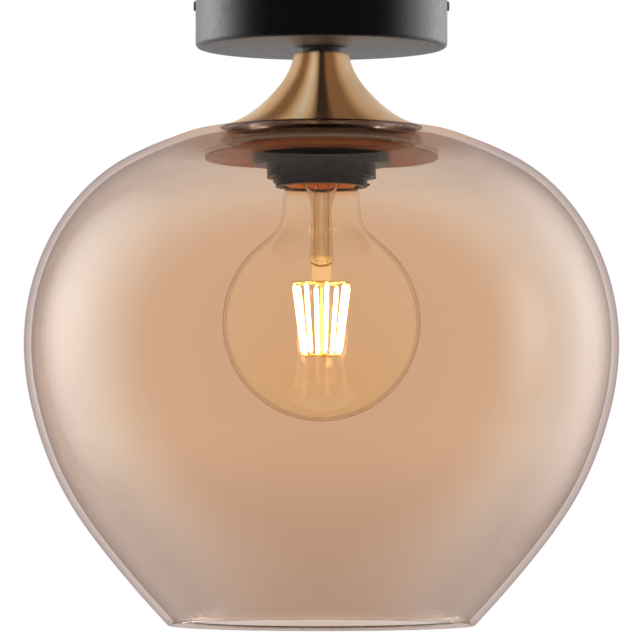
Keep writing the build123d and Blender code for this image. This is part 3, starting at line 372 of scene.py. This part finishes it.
# %% Gloss towards the outline, and dressing a solid
def gloss_at_outline(finish, face, outline, start=0.45, full=0.85):
    """Strength of the clear reflection: face where seen square on, outline at a glancing view."""
    nodes, links = finish.node_tree.nodes, finish.node_tree.links
    facing = nodes.new("ShaderNodeLayerWeight")
    facing.inputs["Blend"].default_value = 0.5
    rise = nodes.new("ShaderNodeMapRange")
    rise.interpolation_type = "SMOOTHSTEP"
    rise.inputs["From Min"].default_value = start
    rise.inputs["From Max"].default_value = full
    rise.inputs["To Min"].default_value = face
    rise.inputs["To Max"].default_value = outline
    links.new(facing.outputs["Facing"], rise.inputs["Value"])
    links.new(rise.outputs["Result"], nodes["Principled BSDF"].inputs["Specular IOR Level"])


def dress(finish, *names):
    """Puts the finish in the material slots of the named solids."""
    for name in names:
        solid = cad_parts[name]
        if not solid.data.materials:
            solid.data.materials.append(None)
        for slot in solid.material_slots:
            slot.material = finish
    print(finish.name, "on", len(names), "solids")


# %% [markdown]
# The canopy is powder coated: nearly black, softly matte, with a very fine orange peel. Plain black would
# do from afar, but the peel is what tells powder from paint. The collar and the side screws are
# blackened too, a little smoother.

# %% Black coats
powder_coat = start_finish("black_powder_coat", (0.003, 0.0025, 0.003), 0.5)
peel = add_grain(powder_coat, 900.0, detail=3.0)
vary_colour(powder_coat, peel, [(GRAIN_LOW, (0.0022, 0.0018, 0.002)), (GRAIN_HIGH, (0.004, 0.0034, 0.0036))])
gloss_at_outline(powder_coat, face=0.015, outline=1.0, start=0.08, full=0.7)
vary_roughness(powder_coat, peel, 0.42, 0.56)
add_bump(powder_coat, peel, 0.05 * MM)
dress(powder_coat, "canopy")

blackened_steel = start_finish("blackened_steel", (0.012, 0.012, 0.013), 0.38, 0.6)
scuff = add_grain(blackened_steel, 1400.0)
vary_roughness(blackened_steel, scuff, 0.3, 0.5)
add_bump(blackened_steel, scuff, 0.02 * MM)
dress(blackened_steel, "collar", "side_screws", "holder_lock_screw")

# %% [markdown]
# The trumpet is copper-gold, brushed on the lathe. Such metal shows bright and brown bands of reflection that
# run down its length. An anisotropic shader makes them from the lamps, but loses them in a plain white studio.
# So they are painted into the colour as painted reflections, laid out by the angle round the axis, and
# they look the same from every side. A fine noise that changes mostly with that angle, and little with height,
# draws the lines of the brush.


# %% Helpers for turned metal
def add_turned_grain(finish, scale, along, detail=3.0):
    """Noise that changes round the light's axis, and only slowly (along) with height."""
    nodes, links = finish.node_tree.nodes, finish.node_tree.links
    place = nodes.new("ShaderNodeTexCoord")
    flat = nodes.new("ShaderNodeVectorMath")
    flat.operation = "MULTIPLY"
    flat.inputs[1].default_value = (1.0, 1.0, 0.0)
    ring = nodes.new("ShaderNodeVectorMath")
    ring.operation = "NORMALIZE"
    height = nodes.new("ShaderNodeVectorMath")
    height.operation = "MULTIPLY"
    height.inputs[1].default_value = (0.0, 0.0, along)
    together = nodes.new("ShaderNodeVectorMath")
    together.operation = "ADD"
    noise = nodes.new("ShaderNodeTexNoise")
    noise.inputs["Scale"].default_value = scale
    noise.inputs["Detail"].default_value = detail
    links.new(place.outputs["Object"], flat.inputs[0])
    links.new(flat.outputs[0], ring.inputs[0])
    links.new(place.outputs["Object"], height.inputs[0])
    links.new(ring.outputs[0], together.inputs[0])
    links.new(height.outputs[0], together.inputs[1])
    links.new(together.outputs[0], noise.inputs["Vector"])
    return noise.outputs["Fac"]


def add_angle(finish):
    """The angle round the axis, from 0 to 1, with its seam at the back."""
    nodes, links = finish.node_tree.nodes, finish.node_tree.links
    place = nodes.new("ShaderNodeTexCoord")
    parts = nodes.new("ShaderNodeSeparateXYZ")
    turned = nodes.new("ShaderNodeMath")
    turned.operation = "MULTIPLY"
    turned.inputs[1].default_value = -1.0
    angle = nodes.new("ShaderNodeMath")
    angle.operation = "ARCTAN2"
    share = nodes.new("ShaderNodeMapRange")
    share.inputs["From Min"].default_value = -pi
    share.inputs["From Max"].default_value = pi
    links.new(place.outputs["Object"], parts.inputs[0])
    links.new(parts.outputs["Y"], turned.inputs[0])
    links.new(parts.outputs["X"], angle.inputs[0])
    links.new(turned.outputs[0], angle.inputs[1])
    links.new(angle.outputs[0], share.inputs["Value"])
    return share.outputs["Result"]


print("turned metal helpers ready")

# %% [markdown]
# The painted reflection bands run from the back, at -180 degrees, round the front, at 0, to the back again.
# Five tones of copper are enough, from the painted dark reflection in the middle of the front to the painted
# pale highlight on each side of it.

# %% Brushed copper for the trumpet, with painted reflection bands
PEACH = (0.98, 0.68, 0.42)
PALE_PEACH = (1.0, 0.80, 0.54)
GOLD = (0.92, 0.54, 0.26)
BROWN = (0.36, 0.165, 0.065)
SHADOW = (0.06, 0.03, 0.018)
# Painted reflections by angle: PALE_PEACH, PEACH and GOLD are painted highlights, BROWN and SHADOW painted dark
# reflections.
reflection_band_angles = [
    (-180, SHADOW), (-172, BROWN), (-150, GOLD), (-128, PEACH), (-105, GOLD), (-78, PEACH), (-60, PEACH),
    (-48, GOLD), (-38, BROWN), (-29, BROWN), (-21, GOLD), (-15, PALE_PEACH), (-9, GOLD), (-3, SHADOW),
    (4, SHADOW), (9, BROWN), (23, BROWN), (35, GOLD), (50, PEACH), (72, PEACH), (95, GOLD), (114, BROWN),
    (130, GOLD), (144, PALE_PEACH), (157, GOLD), (172, BROWN), (180, SHADOW),
]
brushed_copper = start_finish("brushed_copper", PEACH, 0.4, 0.15, Specular_Tint=(1.0, 0.7, 0.45, 1.0))
reflection_band_stops = [((angle + 180) / 360, colour) for angle, colour in reflection_band_angles]
# The painted reflection bands become the colour, fixed to the angle round the axis.
vary_colour(brushed_copper, add_angle(brushed_copper), reflection_band_stops)
lines = add_turned_grain(brushed_copper, 60.0, 4.0)
vary_roughness(brushed_copper, lines, 0.34, 0.5)
add_bump(brushed_copper, lines, 0.04 * MM)
dress(brushed_copper, "trumpet")

# %% [markdown]
# The shade plate is the same copper, but dull: it hardly shines and has only faint bands. Its colour is
# painted darker, as painted shade from the trumpet above it.

# %% Dull copper for the plate
# The plate's darker colour is painted shade from the trumpet.
plate_copper = start_finish("plate_copper", (0.28, 0.13, 0.07), 0.5, 0.2,
                            Specular_Tint=(0.3, 0.16, 0.1, 1.0), Specular_IOR_Level=0.05)
plate_bands = add_turned_grain(plate_copper, 1.6, 0.0, 2.0)
vary_colour(plate_copper, plate_bands, [(0.35, (0.42, 0.17, 0.075)), (0.65, (0.52, 0.22, 0.10))])
plate_lines = add_turned_grain(plate_copper, 70.0, 0.0)
vary_roughness(plate_copper, plate_lines, 0.35, 0.5)
add_bump(plate_copper, plate_lines, 0.03 * MM)
dress(plate_copper, "shade_plate")

# %% [markdown]
# The lampholder and its ring are moulded in black plastic with a fine spark-eroded texture.

# %% Moulded plastic
holder_plastic = start_finish("holder_plastic", (0.011, 0.006, 0.005), 0.42)
spark = add_grain(holder_plastic, 1600.0, detail=2.0)
vary_colour(holder_plastic, spark, [(GRAIN_LOW, (0.005, 0.0027, 0.0022)), (GRAIN_HIGH, (0.009, 0.005, 0.0042))])
gloss_at_outline(holder_plastic, face=0.03, outline=0.5)
vary_roughness(holder_plastic, spark, 0.36, 0.5)
add_bump(holder_plastic, spark, 0.01 * MM)
dress(holder_plastic, "holder_cap", "holder_sleeve", "shade_ring")

# %% [markdown]
# Inside the lampholder sit a ceramic insert and brass contacts. The lit lamp makes them glow orange.
# Light that passes two walls of glass is slow to trace, so that glow is given to the ceramic and the
# brass as a faint light of their own, which dies away upwards.


# %% Ceramic and brass, with the lamp's glow
def add_height(finish, low, high):
    """Runs from 0 at the height low to 1 at the height high."""
    nodes, links = finish.node_tree.nodes, finish.node_tree.links
    place = nodes.new("ShaderNodeTexCoord")
    parts = nodes.new("ShaderNodeSeparateXYZ")
    rise = nodes.new("ShaderNodeMapRange")
    rise.inputs["From Min"].default_value = low
    rise.inputs["From Max"].default_value = high
    links.new(place.outputs["Object"], parts.inputs[0])
    links.new(parts.outputs["Z"], rise.inputs["Value"])
    return rise.outputs["Result"]


def add_glow(finish, low, high, stops, strength):
    """Lamplight that a piece scatters: a faint light of its own whose colour follows the height."""
    shader = finish.node_tree.nodes["Principled BSDF"]
    glow = add_ramp(finish, add_height(finish, low, high), stops)
    finish.node_tree.links.new(glow, shader.inputs["Emission Color"])
    shader.inputs["Emission Strength"].default_value = strength


NO_LIGHT = (0.0, 0.0, 0.0)
MOUTH_BOTTOM, MOUTH_TOP = -81.0 * MM, -64.0 * MM
MOUTH_GLOW = [(0.0, (1.0, 0.46, 0.05)), (1.0, NO_LIGHT)]
MOUTH_STRENGTH = 0.42

ceramic = start_finish("white_ceramic", (0.78, 0.76, 0.7), 0.35)
pores = add_grain(ceramic, 700.0)
vary_colour(ceramic, pores, [(GRAIN_LOW, (0.74, 0.71, 0.65)), (GRAIN_HIGH, (0.82, 0.8, 0.75))])
add_bump(ceramic, pores, 0.04 * MM)
add_glow(ceramic, MOUTH_BOTTOM, MOUTH_TOP, MOUTH_GLOW, MOUTH_STRENGTH)
dress(ceramic, "holder_insert")

brass = start_finish("contact_brass", (0.74, 0.42, 0.13), 0.28, 1.0)
stamp = add_grain(brass, 600.0)
vary_colour(brass, stamp, [(GRAIN_LOW, (0.66, 0.35, 0.10)), (GRAIN_HIGH, (0.82, 0.48, 0.17))])
vary_roughness(brass, stamp, 0.22, 0.4)
add_glow(brass, MOUTH_BOTTOM, MOUTH_TOP, MOUTH_GLOW, MOUTH_STRENGTH)
dress(brass, "screw_shell", "centre_contact", "shell_contact", "earth_tag")

# %% [markdown]
# The bracket and the screws are zinc plated, which crystallises in soft grey spangles. The tube and its
# nuts are nickel on brass, smoother and a little yellow.

# %% Plated metal
zinc = start_finish("zinc_steel", (0.55, 0.55, 0.53), 0.35, 1.0)
spangle = add_grain(zinc, 260.0, detail=6.0)
vary_colour(zinc, spangle, [(GRAIN_LOW, (0.46, 0.46, 0.45)), (GRAIN_HIGH, (0.63, 0.63, 0.6))])
vary_roughness(zinc, spangle, 0.28, 0.45)
dress(zinc, "ceiling_bracket", "lock_washer", "contact_screws", "block_fixing_screws",
      "block_pole_screws", "earth_screw")

nickel = start_finish("nickel_brass", (0.6, 0.55, 0.44), 0.3, 1.0)
polish = add_grain(nickel, 500.0)
vary_roughness(nickel, polish, 0.22, 0.38)
vary_colour(nickel, polish, [(GRAIN_LOW, (0.54, 0.49, 0.38)), (GRAIN_HIGH, (0.66, 0.61, 0.5))])
dress(nickel, "threaded_tube", "canopy_nut", "trumpet_nut")

# %% [markdown]
# The wires, the terminal block and the lamp's small parts are plain, but no real surface is of one even
# tone. One helper lets colour and roughness wander a little, so that each needs only its own values.


# %% Wiring and small parts
TONE_SPREAD = 0.12


def speckled(name, colour, roughness, scale, metallic=0.0):
    """A finish whose colour and roughness wander a little either side of one tone."""
    finish = start_finish(name, colour, roughness, metallic)
    grain = add_grain(finish, scale)
    dark = tuple(channel * (1 - TONE_SPREAD) for channel in colour)
    light = tuple(min(1.0, channel * (1 + TONE_SPREAD)) for channel in colour)
    vary_colour(finish, grain, [(GRAIN_LOW, dark), (GRAIN_HIGH, light)])
    vary_roughness(finish, grain, roughness * (1 - TONE_SPREAD), roughness * (1 + TONE_SPREAD))
    add_bump(finish, grain, 0.02 * MM)
    return finish


dress(speckled("block_nylon", (0.75, 0.74, 0.69), 0.45, 800.0), "terminal_block")
dress(speckled("brown_sleeve", (0.07, 0.028, 0.012), 0.4, 1200.0), "live_wire")
dress(speckled("blue_sleeve", (0.012, 0.06, 0.3), 0.4, 1200.0), "neutral_wire")
dress(speckled("green_sleeve", (0.06, 0.26, 0.03), 0.4, 1200.0), "earth_wire")
dress(speckled("gasket_silicone", (0.72, 0.71, 0.68), 0.3, 500.0), "shade_gasket")
dress(speckled("solder", (0.5, 0.5, 0.48), 0.35, 700.0, metallic=1.0), "lamp_eyelet")
dress(speckled("black_vitrite", (0.012, 0.012, 0.015), 0.15, 500.0), "lamp_insulator")
dress(speckled("lamp_cap_nickel", (0.6, 0.58, 0.54), 0.3, 900.0, metallic=1.0), "lamp_cap")
dress(speckled("bright_wire", (0.85, 0.62, 0.28), 0.25, 900.0, metallic=1.0),
      "lamp_cage_top", "lamp_cage_bottom", "lamp_lead_wires")
dress(speckled("circuit_board", (0.02, 0.14, 0.05), 0.4, 900.0), "lamp_driver")

# %% [markdown]
# ## Glass
# The shade is rose-amber. Looked at square on, its tint is deep; towards the outline its colour is painted
# pale, a painted reflection of the pale room, and its last few millimetres are painted a dull mauve, painted
# shade at the edge. A tint in the volume would deepen the outline instead, so a Layer Weight ramp on the
# shader's colour paints it, with real refraction in a wall of the real thickness. Near the outline a plain
# see-through shader takes over, which keeps that line clean.


# %% Helper for a glass
def multiply(finish, first, second):
    """The product of two colours."""
    both = finish.node_tree.nodes.new("ShaderNodeVectorMath")
    both.operation = "MULTIPLY"
    finish.node_tree.links.new(first, both.inputs[0])
    finish.node_tree.links.new(second, both.inputs[1])
    return both.outputs[0]


def blend_colours(finish, share, first, second):
    """From the first colour, where share is 0, to the plain second one, where it is 1."""
    both = finish.node_tree.nodes.new("ShaderNodeMix")
    both.data_type = "RGBA"
    both.inputs["B"].default_value = (*second, 1.0)
    finish.node_tree.links.new(share, both.inputs["Factor"])
    finish.node_tree.links.new(first, both.inputs["A"])
    return both.outputs["Result"]


def make_glass(name, ior, gloss, face, outline, outline_from, outline_share, heights=None, crown=None):
    """Clear glass; its colour and that of its outline follow the view and, where given, the height; the ramps
    by view carry painted reflection and painted shade at the outline.
    """
    glass = start_finish(name, face[0][1], 0.0, Transmission_Weight=1.0, IOR=ior,
                         Specular_Tint=(gloss, gloss, gloss, 1.0))
    nodes, links = glass.node_tree.nodes, glass.node_tree.links
    facing = nodes.new("ShaderNodeLayerWeight")
    facing.inputs["Blend"].default_value = 0.5
    face_colour = add_ramp(glass, facing.outputs["Facing"], face)
    outline_colour = add_ramp(glass, facing.outputs["Facing"], outline)
    if heights:
        low, high, stops = heights
        face_colour = multiply(glass, face_colour, add_ramp(glass, add_height(glass, low, high), stops))
    if crown:
        low, high, pale = crown
        outline_colour = blend_colours(glass, add_height(glass, low, high), outline_colour, pale)
    reach = nodes.new("ShaderNodeMapRange")
    reach.interpolation_type = "SMOOTHSTEP"
    reach.inputs["From Min"].default_value = outline_from
    reach.inputs["To Max"].default_value = outline_share
    clear = nodes.new("ShaderNodeBsdfTransparent")
    both = nodes.new("ShaderNodeMixShader")
    links.new(face_colour, nodes["Principled BSDF"].inputs["Base Color"])
    links.new(outline_colour, clear.inputs["Color"])
    links.new(facing.outputs["Facing"], reach.inputs["Value"])
    links.new(reach.outputs["Result"], both.inputs["Fac"])
    links.new(nodes["Principled BSDF"].outputs[0], both.inputs[1])
    links.new(clear.outputs[0], both.inputs[2])
    links.new(both.outputs[0], nodes["Material Output"].inputs["Surface"])
    print("glass:", name)
    return glass


# %% [markdown]
# Each pair says how far the surface turns away from the view, from 0 to 1, and the colour there. By
# height, the lower part of the shade is a little greyer, and its crown has a paler outline.

# %% Amber glass for the shade
amber_glass = make_glass(
    "amber_glass", ior=1.45, gloss=0.11,
    # The deep tint is the glass's own. The pale stops at 0.4 to 0.6 are a painted reflection of the pale room,
    # and the darker last stop is painted shade at the edge.
    face=[(0.0, (0.785, 0.60, 0.465)), (0.20, (0.80, 0.635, 0.505)), (0.40, (0.91, 0.85, 0.805)),
          (0.60, (0.93, 0.89, 0.86)), (1.0, (0.70, 0.62, 0.60))],
    # The see-through colour darkens towards the edge as painted shade.
    outline=[(0.5, (0.84, 0.76, 0.71)), (0.74, (0.77, 0.68, 0.62)), (0.88, (0.66, 0.58, 0.56)),
             (1.0, (0.58, 0.50, 0.51))],
    outline_from=0.3, outline_share=0.95,
    heights=(-259.0 * MM, -185.0 * MM,
             [(0.0, (0.80, 0.78, 0.80)), (0.5, (0.89, 0.88, 0.90)), (1.0, (1.0, 1.0, 1.0))]),
    crown=(-68.0 * MM, -61.5 * MM, (0.76, 0.62, 0.53)),
)

# %% [markdown]
# The lamp's globe and the stem inside it are clear glass; the warm colour that the lamp's light gives them is
# painted into the glass. Thin lamp glass hardly bends what is behind it, so its refraction is kept low. The
# filaments' light in the flattened foot of the stem and, far less, in the wall of the globe is painted as a
# faint light of the glass's own.

# %% Clear glass for the lamp
globe_glass = make_glass(
    "globe_glass", ior=1.3, gloss=0.6,
    face=[(0.0, (1.0, 0.985, 0.93)), (0.4, (1.0, 1.0, 0.96)), (0.75, (1.0, 1.0, 0.95)),
          (1.0, (0.78, 0.62, 0.42))],
    outline=[(0.75, (0.86, 0.72, 0.55)), (1.0, (0.66, 0.48, 0.32))],
    outline_from=0.75, outline_share=0.7,
    # Painted warm light by height, strongest at the neck by the cap.
    heights=(-176.0 * MM, -60.0 * MM,
             [(0.0, (1.0, 0.97, 0.86)), (0.35, (1.0, 1.0, 1.0)), (0.78, (1.0, 1.0, 1.0)),
              (0.83, (0.92, 0.62, 0.34)), (1.0, (0.85, 0.42, 0.16))]),
)
# Painted glow: the globe's glass is given a faint light of its own.
add_glow(globe_glass, -176.0 * MM, -90.0 * MM,
         [(0.0, (1.0, 0.66, 0.26)), (0.6, (1.0, 0.72, 0.4)), (1.0, NO_LIGHT)], 0.012)

stem_glass = make_glass(
    "stem_glass", ior=1.3, gloss=0.6,
    face=[(0.0, (0.97, 0.95, 0.91)), (1.0, (0.7, 0.62, 0.5))],
    outline=[(0.6, (0.85, 0.72, 0.55)), (1.0, (0.6, 0.42, 0.25))],
    outline_from=0.6, outline_share=0.6,
)
# Painted glow: the stem's foot is given a light of its own.
add_glow(stem_glass, -119.5 * MM, -109.0 * MM,
         [(0.0, (1.0, 0.74, 0.16)), (0.7, (1.0, 0.66, 0.14)), (1.0, NO_LIGHT)], 0.18)
dress(stem_glass, "lamp_stem")

# %% [markdown]
# The filaments are thin sapphire rods under a coat of phosphor. They are the lamp's light: nearly white
# where they burn and yellow at the ends. A lamp object inside the globe would light the room as well,
# but it would leave the rods themselves dark.

# %% Lit filaments
END_GLOW = (0.026, 0.016, 0.001)
FULL_GLOW = (1.0, 0.72, 0.38)
ROD_STRENGTH = 45.0

filament_light = start_finish("filament_light", (1.0, 0.8, 0.5), 0.5)
ember = add_grain(filament_light, 300.0)
vary_colour(filament_light, ember, [(GRAIN_LOW, (1.0, 0.76, 0.42)), (GRAIN_HIGH, (1.0, 0.86, 0.6))])
rod_heights = [corner[2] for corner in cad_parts["lamp_filaments"].bound_box]
add_glow(filament_light, min(rod_heights), max(rod_heights),
         [(0.0, END_GLOW), (0.09, FULL_GLOW), (0.91, FULL_GLOW), (1.0, END_GLOW)], ROD_STRENGTH)
dress(filament_light, "lamp_filaments")

# %% [markdown]
# ## Turned and blown pieces
# The shade, the globe and the trumpet are all round, so each is drawn as one profile and spun round the
# axis. A Screw modifier does that too, but the spin operator leaves a plain mesh with nothing to apply.
# A profile starts as a few measured points. A smooth line is laid through them and moved in by the
# wall's thickness, and arcs round its ends.


# %% Helpers for a profile
def refine(points, parts):
    """A smooth line through the points, each span cut in equal parts."""
    ends = [2 * points[0] - points[1], *points, 2 * points[-1] - points[-2]]
    line = []
    for before, start, end, after in zip(ends, ends[1:], ends[2:], ends[3:]):
        for step in range(parts):
            t = step / parts
            line.append((
                2 * start + (end - before) * t
                + (2 * before - 5 * start + 4 * end - after) * t * t
                + (3 * start - before - 3 * end + after) * t**3
            ) / 2)
    return [*line, points[-1]]


def inset_line(line, wall):
    """The line moved by the wall's thickness to its right-hand side."""
    moved = []
    for place in range(len(line)):
        before = line[max(place - 1, 0)]
        after = line[min(place + 1, len(line) - 1)]
        heading = (after - before).normalized()
        moved.append(line[place] + Vector((heading.y, -heading.x)) * wall)
    return moved


def arc(centre, radius, start, end, parts=8):
    """Points on an arc, angles in degrees."""
    angles = [radians(start + (end - start) * step / parts) for step in range(parts + 1)]
    return [Vector((centre[0] + radius * cos(a), centre[1] + radius * sin(a))) for a in angles]


print("profile helpers ready")

# %% [markdown]
# The profile becomes a mesh in edit mode. A plane is merged to a single corner, the corner is extruded
# from point to point, and the spin operator turns the line through a full circle. Where the circle
# closes, and at the poles, the doubled corners are merged before the normals are turned outwards.


# %% Helpers for turning
CLOSE_GAP = 0.0005 * MM
WELD_GAP = 0.002 * MM
SHARP_ANGLE = 40.0


def turn(name, profile, steps):
    """Spins a closed profile of (radius, height) points in millimetres into a solid of revolution."""
    bpy.ops.object.select_all(action="DESELECT")
    bpy.ops.mesh.primitive_plane_add(size=2 * MM)
    piece = bpy.context.object
    piece.name = name
    piece.data.name = name
    bpy.ops.object.mode_set(mode="EDIT")
    bpy.ops.mesh.select_all(action="SELECT")
    bpy.ops.mesh.merge(type="CENTER")
    start = profile[0] * MM
    bpy.ops.transform.translate(value=(start.x, 0.0, start.y))
    for here, there in zip(profile, profile[1:]):
        step = (there - here) * MM
        bpy.ops.mesh.extrude_vertices_move(TRANSFORM_OT_translate={"value": (step.x, 0.0, step.y)})
    bpy.ops.mesh.select_all(action="SELECT")
    bpy.ops.mesh.remove_doubles(threshold=CLOSE_GAP)
    bpy.ops.mesh.select_all(action="SELECT")
    bpy.ops.mesh.spin(steps=steps, angle=2 * pi, center=(0.0, 0.0, 0.0), axis=(0.0, 0.0, 1.0))
    bpy.ops.mesh.select_all(action="SELECT")
    bpy.ops.mesh.remove_doubles(threshold=WELD_GAP)
    bpy.ops.mesh.normals_make_consistent(inside=False)
    bpy.ops.object.mode_set(mode="OBJECT")
    bpy.ops.object.shade_smooth_by_angle(angle=radians(SHARP_ANGLE))
    print(name, "faces:", len(piece.data.polygons))
    return piece


def finish_piece(piece, finish, body, slot, *nodes):
    """Gives a new piece its finish and its body, and hides the solid that it stands for. The slot is not used.
    """
    piece.data.materials.append(finish)
    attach(piece, body)
    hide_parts(*nodes)


# %% [markdown]
# The shade is one wall, 3 mm thick, open below. Its profile goes down the outside, round the fire-polished
# rim, up the inside, and over the turned-in lip that stands on the gasket.

# %% Blow the shade
SHADE_WALL = 3.0
SHADE_CROWN = 5.0
SHADE_STEPS = 192
RIM_FLATNESS = 0.55
LIP_FOOT = Vector((36.5, -63.9))
LIP_CENTRE = (41.5, -62.7)

shade_line = refine([Vector(point) for point in (
    (41.5, -57.7), (52.28, -59.12), (62.56, -62.73), (72.61, -66.98), (82.28, -72.01), (91.1, -78.4),
    (98.82, -86.09), (105.42, -94.77), (110.83, -104.23), (115.03, -114.29), (118.0, -124.78),
    (119.72, -135.54), (120.19, -146.43), (119.44, -157.3), (117.62, -168.05), (114.89, -178.61),
    (111.4, -188.94), (107.14, -198.98), (102.03, -208.61), (96.13, -217.78), (89.67, -226.56),
    (82.85, -235.08), (75.83, -243.42), (68.6, -251.59), (62.0, -258.75),
)], parts=3)
shade_inside = inset_line(shade_line, SHADE_WALL)
rim_middle = (shade_line[-1] + shade_inside[-1]) / 2
rim_across = shade_line[-1] - rim_middle
rim_down = Vector((rim_across.y, -rim_across.x))
rim_down = rim_down if rim_down.y < 0 else -rim_down
rim_angles = [radians(angle) for angle in range(20, 180, 20)]
rim = [rim_middle + rim_across * cos(a) + rim_down * RIM_FLATNESS * sin(a) for a in rim_angles]
lip_outer = arc(LIP_CENTRE, SHADE_CROWN, 180.0, 90.0)
lip_inner = arc(LIP_CENTRE, SHADE_CROWN - SHADE_WALL, 90.0, 180.0)
shade_profile = [
    LIP_FOOT, *lip_outer[:-1], *shade_line, *rim, *reversed(shade_inside),
    *lip_inner[1:], LIP_FOOT + Vector((SHADE_WALL, 0.0)), LIP_FOOT,
]
shade = turn("glass_shade_blown", shade_profile, SHADE_STEPS)
finish_piece(shade, amber_glass, "shade", "shade_glass", "glass_shade")

# %% [markdown]
# The globe is far thinner, 1 mm, so its wall is drawn the same way: from the collar in the cap down the
# neck, round the ball to the axis, and back up inside. The collar fits the lamp's cap, whose screw
# thread sets its radius.

# %% Blow the globe
GLOBE_R = 40.0
GLOBE_WALL = 1.0
GLOBE_CENTRE = -136.3
GLOBE_STEPS = 128
SHOULDER = 40.0
LAMP_THREAD_R = 26.3 / 2
THREAD_DEPTH = 1.05
CAP_WALL = 0.6
FIT = 0.05

collar = LAMP_THREAD_R - THREAD_DEPTH - CAP_WALL - FIT
neck_line = refine([Vector(point) for point in (
    (collar, -77.4), (15.0, -82.9), (17.0, -96.7),
    (GLOBE_R * sin(radians(SHOULDER)), GLOBE_CENTRE + GLOBE_R * cos(radians(SHOULDER))),
)], parts=10)
ball = arc((0.0, GLOBE_CENTRE), GLOBE_R, 90.0 - SHOULDER, -90.0, parts=40)
globe_line = [Vector((collar, -74.5)), *neck_line, *ball[1:]]
globe_inside = inset_line(globe_line, GLOBE_WALL)
globe_inside[-1] = Vector((0.0, globe_inside[-1].y))
globe_profile = [*globe_line, *reversed(globe_inside), globe_line[0]]
globe = turn("globe_blown", globe_profile, GLOBE_STEPS)
finish_piece(globe, globe_glass, "lamp", "globe_glass", "lamp_globe")

# %% [markdown]
# The trumpet is spun from 1.2 mm sheet over a former. Its skin is drawn once and thickened by the same
# inset as the glass. Its top is flat, with a hole for the threaded tube, and its foot is cut level.

# %% Spin the trumpet
TRUMPET_WALL = 1.2
TRUMPET_TOP = -27.0
TRUMPET_STEPS = 192
TUBE_HOLE_R = 5.05
NECK_R = 11.3
NECK_CORNER = 1.8
FOOT_R, FOOT_HEIGHT = 41.0, -57.4
FOOT_LAND = 1.0

flare_line = refine([Vector(point) for point in (
    (NECK_R, -28.8), (12.31, -32.19), (13.81, -35.44), (15.64, -38.51), (17.87, -41.3), (20.26, -43.96),
    (22.76, -46.51), (25.42, -48.9), (28.24, -51.09), (31.2, -53.09), (34.34, -54.8), (37.67, -56.11),
    (FOOT_R, FOOT_HEIGHT),
)], parts=5)
neck_top = arc((NECK_R - NECK_CORNER, TRUMPET_TOP - NECK_CORNER), NECK_CORNER, 90.0, 0.0)
flare_inside = [point for point in inset_line(flare_line, TRUMPET_WALL) if point.y > FOOT_HEIGHT]
underside = TRUMPET_TOP - TRUMPET_WALL
trumpet_profile = [
    Vector((TUBE_HOLE_R, TRUMPET_TOP)), *neck_top[:-1], *flare_line,
    Vector((FOOT_R - FOOT_LAND, FOOT_HEIGHT)), *reversed(flare_inside[1:]),
    Vector((NECK_R - TRUMPET_WALL, underside)), Vector((TUBE_HOLE_R, underside)),
    Vector((TUBE_HOLE_R, TRUMPET_TOP)),
]
trumpet = turn("trumpet_spun", trumpet_profile, TRUMPET_STEPS)
finish_piece(trumpet, brushed_copper, "fixture", "brushed_copper", "trumpet")
